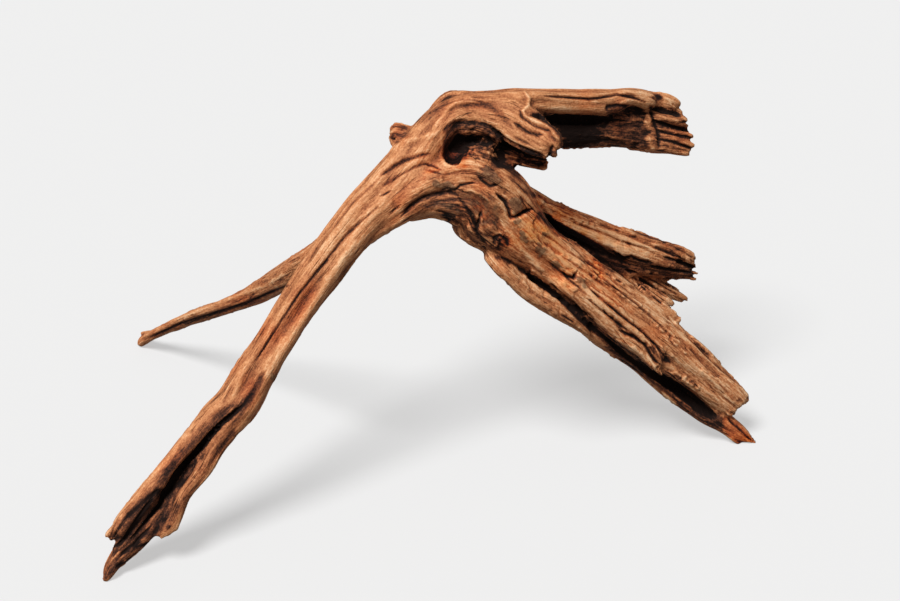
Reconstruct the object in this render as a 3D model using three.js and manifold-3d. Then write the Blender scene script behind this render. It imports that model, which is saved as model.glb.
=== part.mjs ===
// A branched piece of driftwood, weathered hardwood root, that stands on three tips: a long front leg,
// a heavy right leg and a slim rear leg. They meet in a knotted fork, from which two more branches and
// some splinters reach out to the right. It grew as one piece, so it is one solid.
//
// The wood is a bundle of strands. Each strand is a swept body with its own fluted section, and all of
// them are fused. Stations are set out as they look from a fixed eye point in front of and above the
// piece: across and up on a plane through its middle, and away along the line of sight.
import * as THREE from "three";
import { mergeVertices } from "three/addons/utils/BufferGeometryUtils.js";
import Module from "manifold-3d";

// Driving dimensions, in millimetres and degrees.
const EYE_DISTANCE = 2125;
const EYE_ELEVATION = 30;
const AIM_HEIGHT = 150;
const RING_STEP = 14;
const FLOOR_CUT = 60;
const CENTRE_SHIFT = [16.4, 47.9];
const WOOD = { color: 0x9c5a33, roughness: 0.78, metalness: 0 };

// The sight frame: right, up and away, seen from the eye point.
const TILT = THREE.MathUtils.degToRad(EYE_ELEVATION);
const UP = new THREE.Vector3(0, Math.sin(TILT), Math.cos(TILT));
const AWAY = new THREE.Vector3(0, Math.cos(TILT), -Math.sin(TILT));
const AIM = new THREE.Vector3(CENTRE_SHIFT[0], CENTRE_SHIFT[1], AIM_HEIGHT);

// How much larger a thing is than it looks, when it lies this far behind the middle plane.
function spread(away) {
  return 1 + away / EYE_DISTANCE;
}

function place(across, up, away) {
  const scale = spread(away);
  return new THREE.Vector3(across * scale, 0, 0)
    .addScaledVector(UP, up * scale)
    .addScaledVector(AWAY, away)
    .add(AIM);
}

// Each row of a strand: across, up, away, half width as it looks, half depth.
// flutes is the number of grooves round it, groove their depth as a share of its radius, and
// seed sets where they lie. square is 2 for an oval section and more for a boxy one. sides is the
// number of faces round it. broken is how far its ends are torn, in millimetres.
const STRANDS = {
  front_leg: {
    sides: 18,
    flutes: 5,
    groove: 0.2,
    seed: 1,
    broken: 5,
    rows: [
      [-250, -147, -145, 14, 12],
      [-233, -123, -145, 20, 17],
      [-213, -104, -144, 22, 19],
      [-195, -73, -143, 21.5, 20],
      [-175, -41, -142, 20, 20],
      [-154, -6, -141, 20.5, 20],
      [-132, 25, -140, 22, 21],
      [-113, 51, -138, 23, 22],
      [-86, 84, -136, 26, 24],
      [-64, 104, -133, 30, 27],
      [-36, 136, -130, 29, 29],
      [-10, 172, -130, 23, 28],
      [12, 188, -130, 19, 26],
      [40, 192, -130, 17, 25],
      [66, 194, -128, 17, 23],
      [92, 198, -118, 13, 20],
      [130, 198, -100, 13, 18],
      [157, 198, -86, 14, 17],
      [176, 203, -76, 10, 16],
      [196, 201, -66, 10.5, 14],
      [207, 196, -60, 7, 9],
    ],
  },
  front_leg_left_wall: {
    sides: 12,
    flutes: 3,
    groove: 0.15,
    seed: 2,
    broken: 5,
    rows: [
      [-339, -240, -152, 7, 7],
      [-323, -221, -152, 12, 11],
      [-300, -194, -151, 12, 12],
      [-279, -169, -150, 12.5, 13],
      [-259, -145, -149, 13, 14],
      [-240, -120, -147, 12, 14],
      [-221, -99, -145, 9, 11],
    ],
  },
  front_leg_right_wall: {
    sides: 12,
    flutes: 4,
    groove: 0.2,
    seed: 3,
    broken: 4,
    rows: [
      [-292, -238, -146, 5, 6],
      [-278, -222, -146, 9, 8],
      [-265, -193, -147, 8, 9],
      [-246, -169, -147, 9.5, 10],
      [-234, -147, -147, 10.5, 11],
      [-220, -128, -146, 12, 13],
      [-205, -110, -145, 13, 13],
    ],
  },
  front_leg_tip: {
    sides: 12,
    flutes: 3,
    groove: 0.12,
    seed: 4,
    broken: 1,
    rows: [
      [-346, -281, -150, 2.5, 3],
      [-340, -266, -149, 6.5, 5],
      [-328, -253, -147, 11, 7],
      [-312, -232, -144, 16, 8],
      [-292, -205, -141, 18, 9],
      [-268, -174, -139, 18, 10],
      [-245, -144, -140, 17, 12],
      [-225, -120, -143, 15, 12],
    ],
  },
  rear_leg: {
    sides: 12,
    flutes: 4,
    groove: 0.22,
    seed: 5,
    broken: 3,
    rows: [
      [-112, 68, -136, 12, 13],
      [-130, 50, -120, 12, 14],
      [-154, 31, -72, 13.5, 15],
      [-187, 11, 0, 12.5, 13],
      [-221, -4.5, 61, 8.2, 10],
      [-253, -15.5, 116, 7.3, 9],
      [-288, -30, 177, 6.4, 8],
      [-305, -39, 207, 6, 7],
      [-310, -44, 216, 4, 5],
    ],
  },
  fork_bridge: {
    sides: 16,
    flutes: 4,
    groove: 0.14,
    seed: 6,
    broken: 0,
    rows: [
      [-92, 62, -136, 13, 16],
      [-62, 88, -136, 20, 21],
      [-34, 110, -136, 26, 24],
      [-6, 122, -133, 26, 24],
      [22, 124, -128, 24, 25],
      [50, 112, -120, 24, 26],
      [74, 90, -104, 20, 22],
    ],
  },
  fork_core: {
    sides: 14,
    flutes: 3,
    groove: 0.1,
    seed: 21,
    broken: 0,
    rows: [
      [-30, 150, -118, 20, 20],
      [-4, 160, -112, 28, 24],
      [24, 164, -106, 26, 25],
      [50, 160, -104, 22, 22],
      [70, 150, -104, 14, 16],
    ],
  },
  fork_fold: {
    sides: 18,
    flutes: 4,
    groove: 0.12,
    seed: 7,
    broken: 2,
    rows: [
      [-18, 176, -132, 12, 16],
      [8, 190, -136, 14, 18],
      [36, 188, -140, 19, 17],
      [58, 183, -144, 23, 16],
      [75, 172, -148, 23.5, 13],
      [89, 161, -151, 20, 10],
      [98, 155, -152, 15.5, 8],
      [104, 151, -153, 10, 5],
    ],
  },
  fork_roll: {
    sides: 8,
    flutes: 0,
    groove: 0,
    seed: 22,
    broken: 0,
    rows: [
      [80, 202, -136, 3, 4],
      [78, 191, -143, 3.5, 5],
      [85, 182, -149, 3.5, 5],
      [97, 174, -153, 3.8, 5],
      [106, 166, -155, 4, 5],
      [111, 156, -156, 3.5, 4],
    ],
  },
  fork_corner: {
    sides: 8,
    square: 3,
    flutes: 0,
    groove: 0,
    seed: 30,
    broken: 0,
    rows: [
      [-18, 190, -128, 4, 8],
      [-3, 203, -128, 5, 10],
      [12, 205, -128, 5, 12],
      [32, 203.5, -128, 4, 12],
    ],
  },
  fork_underside: {
    sides: 10,
    flutes: 3,
    groove: 0.15,
    seed: 8,
    broken: 3,
    rows: [
      [38, 156, -122, 14, 12],
      [60, 149, -118, 12, 11],
      [80, 143, -116, 11, 10],
      [93, 141, -114, 8, 8],
      [101, 143, -113, 5, 5],
    ],
  },
  burl: {
    sides: 10,
    flutes: 4,
    groove: 0.15,
    seed: 9,
    broken: 0,
    rows: [
      [16, 152, -126, 6, 6],
      [24, 150, -134, 11, 11],
      [33, 147, -136, 12, 12],
      [44, 142, -130, 8, 9],
    ],
  },
  knob: {
    sides: 9,
    flutes: 4,
    groove: 0.12,
    seed: 10,
    broken: 0,
    rows: [
      [-61, 166, -122, 6, 5],
      [-56, 166, -122, 11.5, 10],
      [-46, 164, -123, 11.5, 10],
      [-32, 158, -125, 11, 10],
    ],
  },
  right_leg: {
    sides: 20,
    square: 2.5,
    flutes: 6,
    groove: 0.18,
    seed: 11,
    broken: 3,
    rows: [
      [-52, 92, -128, 16, 16],
      [-18, 107, -128, 25, 26],
      [14, 107, -122, 33, 32],
      [37, 94, -112, 40, 34],
      [63, 73, -98, 35, 33],
      [82, 56, -84, 28, 30],
      [110, 35, -66, 26, 28],
      [145, 9, -44, 25, 26],
      [176, -15, -24, 28, 25],
      [207, -39, -4, 27, 24],
      [236, -63, 14, 24, 22],
      [256, -79, 26, 23.5, 20],
      [274, -94, 36, 20, 17],
      [285, -104, 42, 16, 13],
    ],
  },
  right_leg_layer: {
    sides: 10,
    square: 3,
    flutes: 3,
    groove: 0.12,
    seed: 29,
    broken: 3,
    rows: [
      [106, 24, -84, 8, 8],
      [138, 1, -66, 14, 10],
      [170, -24, -46, 16, 10],
      [196, -46, -28, 13, 9],
      [210, -71, -17, 4.5, 5],
    ],
  },
  right_leg_under: {
    sides: 14,
    flutes: 4,
    groove: 0.2,
    seed: 12,
    broken: 2,
    rows: [
      [58, 54, -84, 10, 12],
      [88, 24, -64, 16, 16],
      [124, -4, -40, 18, 17],
      [152, -27, -20, 19, 18],
      [187, -50, 4, 19, 18],
      [220, -80, 24, 17.5, 17],
      [250, -104, 37, 15, 14],
      [273, -121, 45, 11, 11],
      [292, -134, 49, 8, 8],
      [304, -141, 51, 3, 3],
    ],
  },
  right_leg_splinter: {
    sides: 10,
    flutes: 3,
    groove: 0.15,
    seed: 13,
    broken: 2,
    rows: [
      [36, 52, -104, 8, 10],
      [48, 36, -106, 8, 10],
      [62, 23, -99, 9, 11],
      [80, 7, -88, 10, 11],
      [103, -8, -74, 9, 10],
      [125, -22, -58, 7, 8],
      [142, -36, -44, 3, 4],
    ],
  },
  middle_branch: {
    sides: 16,
    flutes: 5,
    groove: 0.2,
    seed: 14,
    broken: 7,
    rows: [
      [42, 122, -95, 14, 16],
      [70, 102, -80, 16, 18],
      [103, 84, -58, 14, 17],
      [134, 71, -36, 16, 17],
      [165, 59, -14, 17, 17],
      [196, 49, 8, 17, 16],
      [224, 41, 28, 14, 14],
    ],
  },
  middle_end_top: {
    sides: 9,
    square: 4,
    flutes: 2,
    groove: 0.1,
    seed: 27,
    broken: 3,
    rows: [
      [196, 57.5, 6, 7, 13],
      [224, 50.5, 25, 7.5, 12],
      [244, 41, 38, 6.5, 9],
    ],
  },
  middle_end_low: {
    sides: 9,
    square: 4,
    flutes: 2,
    groove: 0.1,
    seed: 28,
    broken: 3,
    rows: [
      [192, 38.5, 12, 8, 13],
      [220, 33.5, 31, 8.5, 12],
      [243, 30, 44, 6.5, 9],
    ],
  },
  middle_branch_under: {
    sides: 12,
    flutes: 4,
    groove: 0.2,
    seed: 15,
    broken: 6,
    rows: [
      [98, 80, -46, 12, 12],
      [134, 57, -22, 17, 14],
      [168, 41, 2, 16, 14],
      [200, 36, 20, 13, 13],
      [228, 29, 38, 9.5, 10],
      [240, 26, 44, 7, 7],
    ],
  },
  back_bark: {
    sides: 10,
    flutes: 3,
    groove: 0.12,
    seed: 16,
    broken: 3,
    rows: [
      [38, 142, -92, 10, 12],
      [53, 126, -86, 11, 12],
      [66, 111, -78, 9, 12],
      [86, 96, -66, 7, 10],
    ],
  },
  upper_branch: {
    sides: 18,
    square: 2.6,
    flutes: 6,
    groove: 0.16,
    seed: 17,
    broken: 3,
    rows: [
      [30, 176, -112, 22, 20],
      [60, 180, -100, 27, 20],
      [95, 181, -92, 27, 20],
      [130, 181, -76, 28, 20],
      [160, 182, -62, 29, 20],
      [190, 179.5, -48, 29, 18],
      [208, 176, -41, 25, 15],
    ],
  },
  upper_end_top: {
    sides: 10,
    square: 4,
    flutes: 2,
    groove: 0.1,
    seed: 23,
    broken: 3,
    rows: [
      [182, 203.5, -54, 7, 14],
      [204, 200.5, -46, 8, 16],
      [218, 195.5, -40, 8.5, 15],
      [227, 189.5, -36.5, 7, 12],
    ],
  },
  upper_end_high: {
    sides: 10,
    square: 4,
    flutes: 2,
    groove: 0.1,
    seed: 24,
    broken: 3,
    rows: [
      [186, 184, -52, 7, 16],
      [210, 182, -43, 8.5, 18],
      [226, 179, -37, 8, 16],
      [236, 176.5, -33, 6.5, 13],
    ],
  },
  upper_end_middle: {
    sides: 10,
    square: 4,
    flutes: 2,
    groove: 0.1,
    seed: 25,
    broken: 3,
    rows: [
      [186, 169.5, -50, 6, 14],
      [212, 168, -40, 8, 15],
      [230, 165.5, -33, 7.5, 14],
      [239, 164, -30, 6.5, 12],
    ],
  },
  upper_end_low: {
    sides: 10,
    square: 4,
    flutes: 2,
    groove: 0.1,
    seed: 26,
    broken: 3,
    rows: [
      [180, 157, -52, 6, 15],
      [212, 155.5, -40, 7, 15],
      [232, 153.5, -31, 6.5, 13],
      [241, 152.5, -28, 5.5, 11],
    ],
  },
  stub_upper: {
    sides: 9,
    flutes: 3,
    groove: 0.12,
    seed: 18,
    broken: 2,
    rows: [
      [150, 52, -8, 8, 9],
      [170, 36, 12, 9, 9],
      [188, 24, 26, 9, 9],
      [206, 15, 38, 8.5, 8],
      [222, 7, 48, 7, 6],
      [233, 0, 54, 4.5, 4],
    ],
  },
  stub_middle: {
    sides: 8,
    flutes: 3,
    groove: 0.12,
    seed: 19,
    broken: 1,
    rows: [
      [158, 44, -8, 6, 7],
      [176, 28, 8, 6, 7],
      [192, 14, 20, 6, 6],
      [208, 3, 28, 4, 4],
      [223, -6, 34, 2, 2],
    ],
  },
  stub_lower: {
    sides: 8,
    flutes: 3,
    groove: 0.12,
    seed: 20,
    broken: 1,
    rows: [
      [150, 46, -14, 6, 7],
      [166, 30, -2, 6, 6],
      [184, 15, 8, 5, 5],
      [202, -3, 14, 2, 2],
    ],
  },
};

// The knot hole and the splits are cut out of the fused wood. Each row: across, up, away of the
// middle, half width as it looks, half depth.
const CUTS = {
  knot_hole: {
    sides: 12,
    rows: [
      [7, 171, -158, 4, 8],
      [6, 162, -154, 11, 20],
      [5, 150, -152, 13.5, 27],
      [4, 140, -152, 12, 24],
      [3, 132, -158, 5, 10],
    ],
  },
};

// What makes the sections uneven: waves round a section and along its strand. turns is how often a
// wave goes round, and length how many millimetres along go to one radian of it.
const WANDER = [
  { height: 0.35, turns: 1, length: Infinity, index: 1 },
  { height: 0.2, turns: 2, length: Infinity, index: 2 },
  { height: 0.25, turns: 0, length: 55, index: 3 },
];
const SWELL = [
  { height: 0.04, turns: 0, length: 38, index: 4 },
  { height: 0.05, turns: 2, length: 70, index: 5 },
];
const TEAR = [
  { height: 0.6, turns: 3, length: Infinity, index: 6 },
  { height: 0.4, turns: 5, length: Infinity, index: 7 },
];
const GOLDEN_ANGLE = 2.39996;
const SEED_STEP = 7;
const TUCK_SHARE = 0.4;
const WELD_DISTANCE = 1e-4;
const FLOOR_WIDTH = 2000;

// A smooth value that differs for each strand, from its seed.
function phase(seed, index) {
  return GOLDEN_ANGLE * (seed * SEED_STEP + index * index + index);
}

// The sum of some waves for one strand, at an angle and a distance along it.
function sumOf(waves, seed, angle, along) {
  return waves.reduce(
    (sum, { height, turns, length, index }) =>
      sum + height * Math.sin(turns * angle + along / length + phase(seed, index)),
    0,
  );
}

// The radius of a section between an ellipse, where square is 2, and a box, where it is large.
function squareness(angle, square) {
  const across = Math.abs(Math.cos(angle)) ** square;
  const deep = Math.abs(Math.sin(angle)) ** square;
  return (across + deep) ** (-1 / square);
}

// The radius of a fluted section as a share of its plain radius, at an angle and a distance along.
function fluting({ flutes = 0, groove = 0, seed = 0, square = 2 }, angle, along) {
  const wander = sumOf(WANDER, seed, angle, along);
  const notch = (1 - Math.abs(Math.sin((flutes * (angle + wander)) / 2))) ** 2;
  const swell = groove > 0 ? sumOf(SWELL, seed, angle, along) : 0;
  const radius = 1 + swell - groove * notch;
  return radius * squareness(angle, square);
}

// The middle line and half sizes of a strand at closely spaced stations.
function stationsOf(rows) {
  const middle = new THREE.CatmullRomCurve3(
    rows.map(([across, up, away]) => place(across, up, away)),
    false,
    "catmullrom",
    0.5,
  );
  const size = new THREE.CatmullRomCurve3(
    rows.map(
      ([, , away, wide, deep]) =>
        new THREE.Vector3(wide * spread(away), deep, 0),
    ),
    false,
    "catmullrom",
    0.5,
  );
  const spans = rows.length - 1;
  const stations = [];
  let along = 0;
  let last = null;
  for (let span = 0; span < spans; span++) {
    const from = middle.getPoint(span / spans);
    const to = middle.getPoint((span + 1) / spans);
    const steps = Math.max(1, Math.round(from.distanceTo(to) / RING_STEP));
    const lastSpan = span === spans - 1;
    for (let step = 0; step < steps + (lastSpan ? 1 : 0); step++) {
      const t = (span + step / steps) / spans;
      const point = middle.getPoint(t);
      const half = size.getPoint(t);
      along += last ? point.distanceTo(last) : 0;
      last = point;
      stations.push({
        point,
        tangent: middle.getTangent(t),
        wide: half.x,
        deep: half.y,
        along,
      });
    }
  }
  return stations;
}

// The ring of points round one station. Angle 0 is across the line of sight and a quarter turn is away.
function ringOf(station, strand, torn) {
  const { point, tangent, wide, deep, along } = station;
  const away = AWAY.clone()
    .addScaledVector(tangent, -AWAY.dot(tangent))
    .normalize();
  const side = new THREE.Vector3().crossVectors(away, tangent);
  const ring = [];
  for (let i = 0; i < strand.sides; i++) {
    const angle = (2 * Math.PI * i) / strand.sides;
    const radius = fluting(strand, angle, along);
    ring.push(
      point
        .clone()
        .addScaledVector(side, wide * radius * Math.cos(angle))
        .addScaledVector(away, deep * radius * Math.sin(angle))
        .addScaledVector(tangent, torn * sumOf(TEAR, strand.seed ?? 0, angle, 0)),
    );
  }
  return ring;
}

// A closed swept body along a strand's rows, as a three.js geometry.
function strandGeometry(strand) {
  const stations = stationsOf(strand.rows);
  const count = stations.length;
  const broken = strand.broken ?? 0;
  const points = [];
  stations.forEach((station, index) => {
    const atEnd = index === 0 || index === count - 1;
    points.push(...ringOf(station, strand, atEnd ? broken : 0));
  });
  const firstMiddle = points.length;
  const tuck = Math.min(broken, RING_STEP * TUCK_SHARE);
  const first = stations[0];
  const last = stations[count - 1];
  points.push(first.point.clone().addScaledVector(first.tangent, tuck));
  points.push(last.point.clone().addScaledVector(last.tangent, -tuck));

  const faces = [];
  const sides = strand.sides;
  for (let ring = 0; ring < count - 1; ring++) {
    for (let i = 0; i < sides; i++) {
      const next = (i + 1) % sides;
      const a = ring * sides + i;
      const b = ring * sides + next;
      faces.push(a, b, b + sides, a, b + sides, a + sides);
    }
  }
  const lastRing = (count - 1) * sides;
  for (let i = 0; i < sides; i++) {
    const next = (i + 1) % sides;
    faces.push(firstMiddle, next, i);
    faces.push(firstMiddle + 1, lastRing + i, lastRing + next);
  }
  return new THREE.BufferGeometry()
    .setFromPoints(points)
    .setIndex(faces);
}

const wasm = await Module();
wasm.setup();

// A geometry's position-only, merged form as a solid, turned to face out.
function solidOf(geometry) {
  const plain = geometry.clone();
  plain.deleteAttribute("normal");
  plain.deleteAttribute("uv");
  const merged = mergeVertices(plain, WELD_DISTANCE);
  const triVerts = new Uint32Array(merged.index.array);
  const vertProperties = merged.attributes.position.array;
  const made = new wasm.Manifold(
    new wasm.Mesh({ numProp: 3, vertProperties, triVerts }),
  );
  if (made.volume() > 0) return made;
  return new wasm.Manifold(
    new wasm.Mesh({ numProp: 3, vertProperties, triVerts: triVerts.reverse() }),
  );
}

// A solid as a three.js geometry.
function geometryOf(solid) {
  const mesh = solid.getMesh();
  const positions = new Float32Array(mesh.numVert * 3);
  for (let i = 0; i < mesh.numVert; i++) {
    const start = i * mesh.numProp;
    positions.set(mesh.vertProperties.subarray(start, start + 3), i * 3);
  }
  return new THREE.BufferGeometry()
    .setAttribute("position", new THREE.BufferAttribute(positions, 3))
    .setIndex(new THREE.BufferAttribute(mesh.triVerts, 1));
}

// Everything below the surface that the piece stands on, so that its three tips end flat.
function belowFloor() {
  const slab = new THREE.BoxGeometry(FLOOR_WIDTH, FLOOR_WIDTH, FLOOR_CUT);
  return slab.translate(0, 0, -FLOOR_CUT / 2);
}

// All strands fused, with the cuts taken out, as the one outer body that results.
function fusedWood() {
  const strands = Object.values(STRANDS).map((strand) =>
    solidOf(strandGeometry(strand)),
  );
  let wood = strands[0];
  for (const strand of strands.slice(1)) wood = wood.add(strand);
  for (const cut of Object.values(CUTS)) {
    wood = wood.subtract(solidOf(strandGeometry(cut)));
  }
  wood = wood.subtract(solidOf(belowFloor()));
  const bodies = wood.decompose();
  return bodies.reduce((largest, body) =>
    body.volume() > largest.volume() ? body : largest,
  );
}

const driftwood = new THREE.Mesh(
  geometryOf(fusedWood()),
  new THREE.MeshStandardMaterial(WOOD),
);
driftwood.name = "driftwood";

const piece = new THREE.Group();
piece.add(driftwood);

export default piece;
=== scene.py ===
"""A branched piece of driftwood: weathered hardwood root that stands on three tips.

The wood is a bundle of strands that were swept through stations set out along one line of sight.
They are fused into one body, split and hollowed, and then carved: grain that follows every strand,
cracks, rolled edges, bark that is left in patches, and ends torn into splinters.
"""

import logging
import math
from dataclasses import dataclass
from enum import Enum

import bpy
import numpy as np
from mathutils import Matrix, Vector
from mathutils.bvhtree import BVHTree

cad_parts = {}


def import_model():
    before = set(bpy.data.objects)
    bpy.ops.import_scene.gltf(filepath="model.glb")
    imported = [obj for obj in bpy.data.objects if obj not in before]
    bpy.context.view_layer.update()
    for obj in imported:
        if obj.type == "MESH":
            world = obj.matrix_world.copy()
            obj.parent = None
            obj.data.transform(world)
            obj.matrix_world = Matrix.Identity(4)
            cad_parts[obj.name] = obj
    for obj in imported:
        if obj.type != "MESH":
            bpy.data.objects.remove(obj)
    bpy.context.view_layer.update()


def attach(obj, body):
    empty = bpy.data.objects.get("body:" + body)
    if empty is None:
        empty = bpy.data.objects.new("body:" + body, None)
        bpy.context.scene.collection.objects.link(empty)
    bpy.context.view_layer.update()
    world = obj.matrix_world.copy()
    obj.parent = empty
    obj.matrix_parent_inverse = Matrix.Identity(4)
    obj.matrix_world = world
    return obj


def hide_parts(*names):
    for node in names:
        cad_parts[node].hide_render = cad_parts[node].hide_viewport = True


LOG = logging.getLogger("driftwood")
MM = 0.001
GOLDEN_ANGLE = 2.39996

Pair = tuple[float, float]
Triple = tuple[float, float, float]
Colour = tuple[int, int, int]
Light = tuple[float, float, float, float]
Points = tuple[Pair, ...]


@dataclass(frozen=True)
class Sight:
    """The fixed line of sight from which stations and marks are set out, in millimetres.

    A place is given as across and up on a plane through the middle of the piece, and away from
    that plane along the line of sight.
    """

    distance: float = 2125.0
    elevation: float = math.radians(30.0)
    aim: Triple = (16.4, 47.9, 150.0)

    def right(self) -> np.ndarray:
        """Return the direction across the view."""
        return np.array([1.0, 0.0, 0.0])

    def up(self) -> np.ndarray:
        """Return the direction up the view."""
        return np.array([0.0, math.sin(self.elevation), math.cos(self.elevation)])

    def away(self) -> np.ndarray:
        """Return the direction away from the eye."""
        return np.array([0.0, math.cos(self.elevation), -math.sin(self.elevation)])

    def eye(self) -> np.ndarray:
        """Return the eye point."""
        return np.array(self.aim) - self.distance * self.away()

    def spread(self, away: np.ndarray) -> np.ndarray:
        """Return how much larger a thing is than it looks at a distance behind the plane."""
        return 1.0 + away / self.distance

    def place(self, stations: np.ndarray) -> np.ndarray:
        """Turn places as they look into real ones.

        Args:
            stations: rows of across, up and away.

        Returns:
            Rows of x, y and z.
        """
        across, up, away = stations[:, 0], stations[:, 1], stations[:, 2]
        scale = self.spread(away)
        return (
            np.array(self.aim)
            + np.outer(across * scale, self.right())
            + np.outer(up * scale, self.up())
            + np.outer(away, self.away())
        )

    def look(self, points: np.ndarray) -> tuple[np.ndarray, np.ndarray]:
        """Tell where real points look to be.

        Args:
            points: rows of x, y and z.

        Returns:
            Their places across and up the view.
        """
        offset = points - self.eye()
        scale = offset @ self.away() / self.distance
        return offset @ self.right() / scale, offset @ self.up() / scale


def smooth_path(knots: np.ndarray, counts: list[int]) -> tuple[np.ndarray, np.ndarray]:
    """Run a smooth curve through knots.

    Args:
        knots: rows of values that the curve passes through.
        counts: how many steps each span between two knots is divided into.

    Returns:
        The points along the curve, and the rate of change at each.
    """
    first = 2 * knots[0] - knots[1]
    last = 2 * knots[-1] - knots[-2]
    padded = np.vstack([first, knots, last])
    points, slopes = [], []
    for span, count in enumerate(counts):
        p0, p1, p2, p3 = padded[span : span + 4]
        rise, fall = 0.5 * (p2 - p0), 0.5 * (p3 - p1)
        final = 1 if span == len(counts) - 1 else 0
        for step in range(count + final):
            t = step / count
            cubic = 2 * p1 - 2 * p2 + rise + fall
            square = -3 * p1 + 3 * p2 - 2 * rise - fall
            points.append(cubic * t**3 + square * t**2 + rise * t + p1)
            slopes.append(3 * cubic * t**2 + 2 * square * t + rise)
    return np.array(points), np.array(slopes)


def unit(rows: np.ndarray) -> np.ndarray:
    """Return rows scaled to length one."""
    return rows / np.maximum(np.linalg.norm(rows, axis=-1, keepdims=True), 1e-9)


def ramp(value: np.ndarray, low: float, high: float) -> np.ndarray:
    """Return a smooth rise from 0 at low to 1 at high."""
    share = np.clip((value - low) / (high - low), 0.0, 1.0)
    return share * share * (3 - 2 * share)


class Noise:
    """Smooth random values in space, the same on every run."""

    PRIMES = (np.uint32(374761393), np.uint32(668265263), np.uint32(2246822519))
    STIR = np.uint32(3266489917)
    SEED_STEP = 7919
    SEED_START = 17
    FADE = (6.0, -15.0, 10.0)
    GAIN = 1.35

    @classmethod
    def scatter(cls, x: np.ndarray, y: np.ndarray, z: np.ndarray, seed: int) -> np.ndarray:
        """Return one well mixed whole number for each lattice point."""
        with np.errstate(over="ignore"):
            mixed = x * cls.PRIMES[0] ^ y * cls.PRIMES[1] ^ z * cls.PRIMES[2]
            mixed = (mixed + np.uint32(seed * cls.SEED_STEP + cls.SEED_START)) * cls.STIR
            mixed = (mixed ^ (mixed >> np.uint32(15))) * cls.PRIMES[1]
            return mixed ^ (mixed >> np.uint32(13))

    @classmethod
    def at(cls, points: np.ndarray, seed: int = 0) -> np.ndarray:
        """Evaluate the noise.

        Args:
            points: rows of x, y and z, in lattice steps.
            seed: chooses one of many patterns.

        Returns:
            A value from about -1 to 1 for each row.
        """
        floor = np.floor(points)
        part = points - floor
        cell = floor.astype(np.int64).astype(np.uint32)
        a, b, c = cls.FADE
        fade = part**3 * (part * (part * a + b) + c)
        total = np.zeros(len(points))
        for corner in range(8):
            step = np.array([corner & 1, corner >> 1 & 1, corner >> 2 & 1])
            hashed = cls.scatter(*(cell + step.astype(np.uint32)).T, seed)
            slope = np.stack(
                [(hashed >> np.uint32(s) & np.uint32(255)) / 127.5 - 1.0 for s in (0, 8, 16)], 1
            )
            weight = np.prod(np.where(step == 1, fade, 1.0 - fade), axis=1)
            total += weight * np.sum(slope * (part - step), axis=1)
        return np.clip(total * cls.GAIN, -1.0, 1.0)


@dataclass(frozen=True)
class Course:
    """A strand's middle line and section, station by station."""

    points: np.ndarray
    tangents: np.ndarray
    sides: np.ndarray
    depths: np.ndarray
    wide: np.ndarray
    deep: np.ndarray
    along: np.ndarray

    def length(self) -> float:
        """Return the length of the middle line."""
        return float(self.along[-1])


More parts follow.
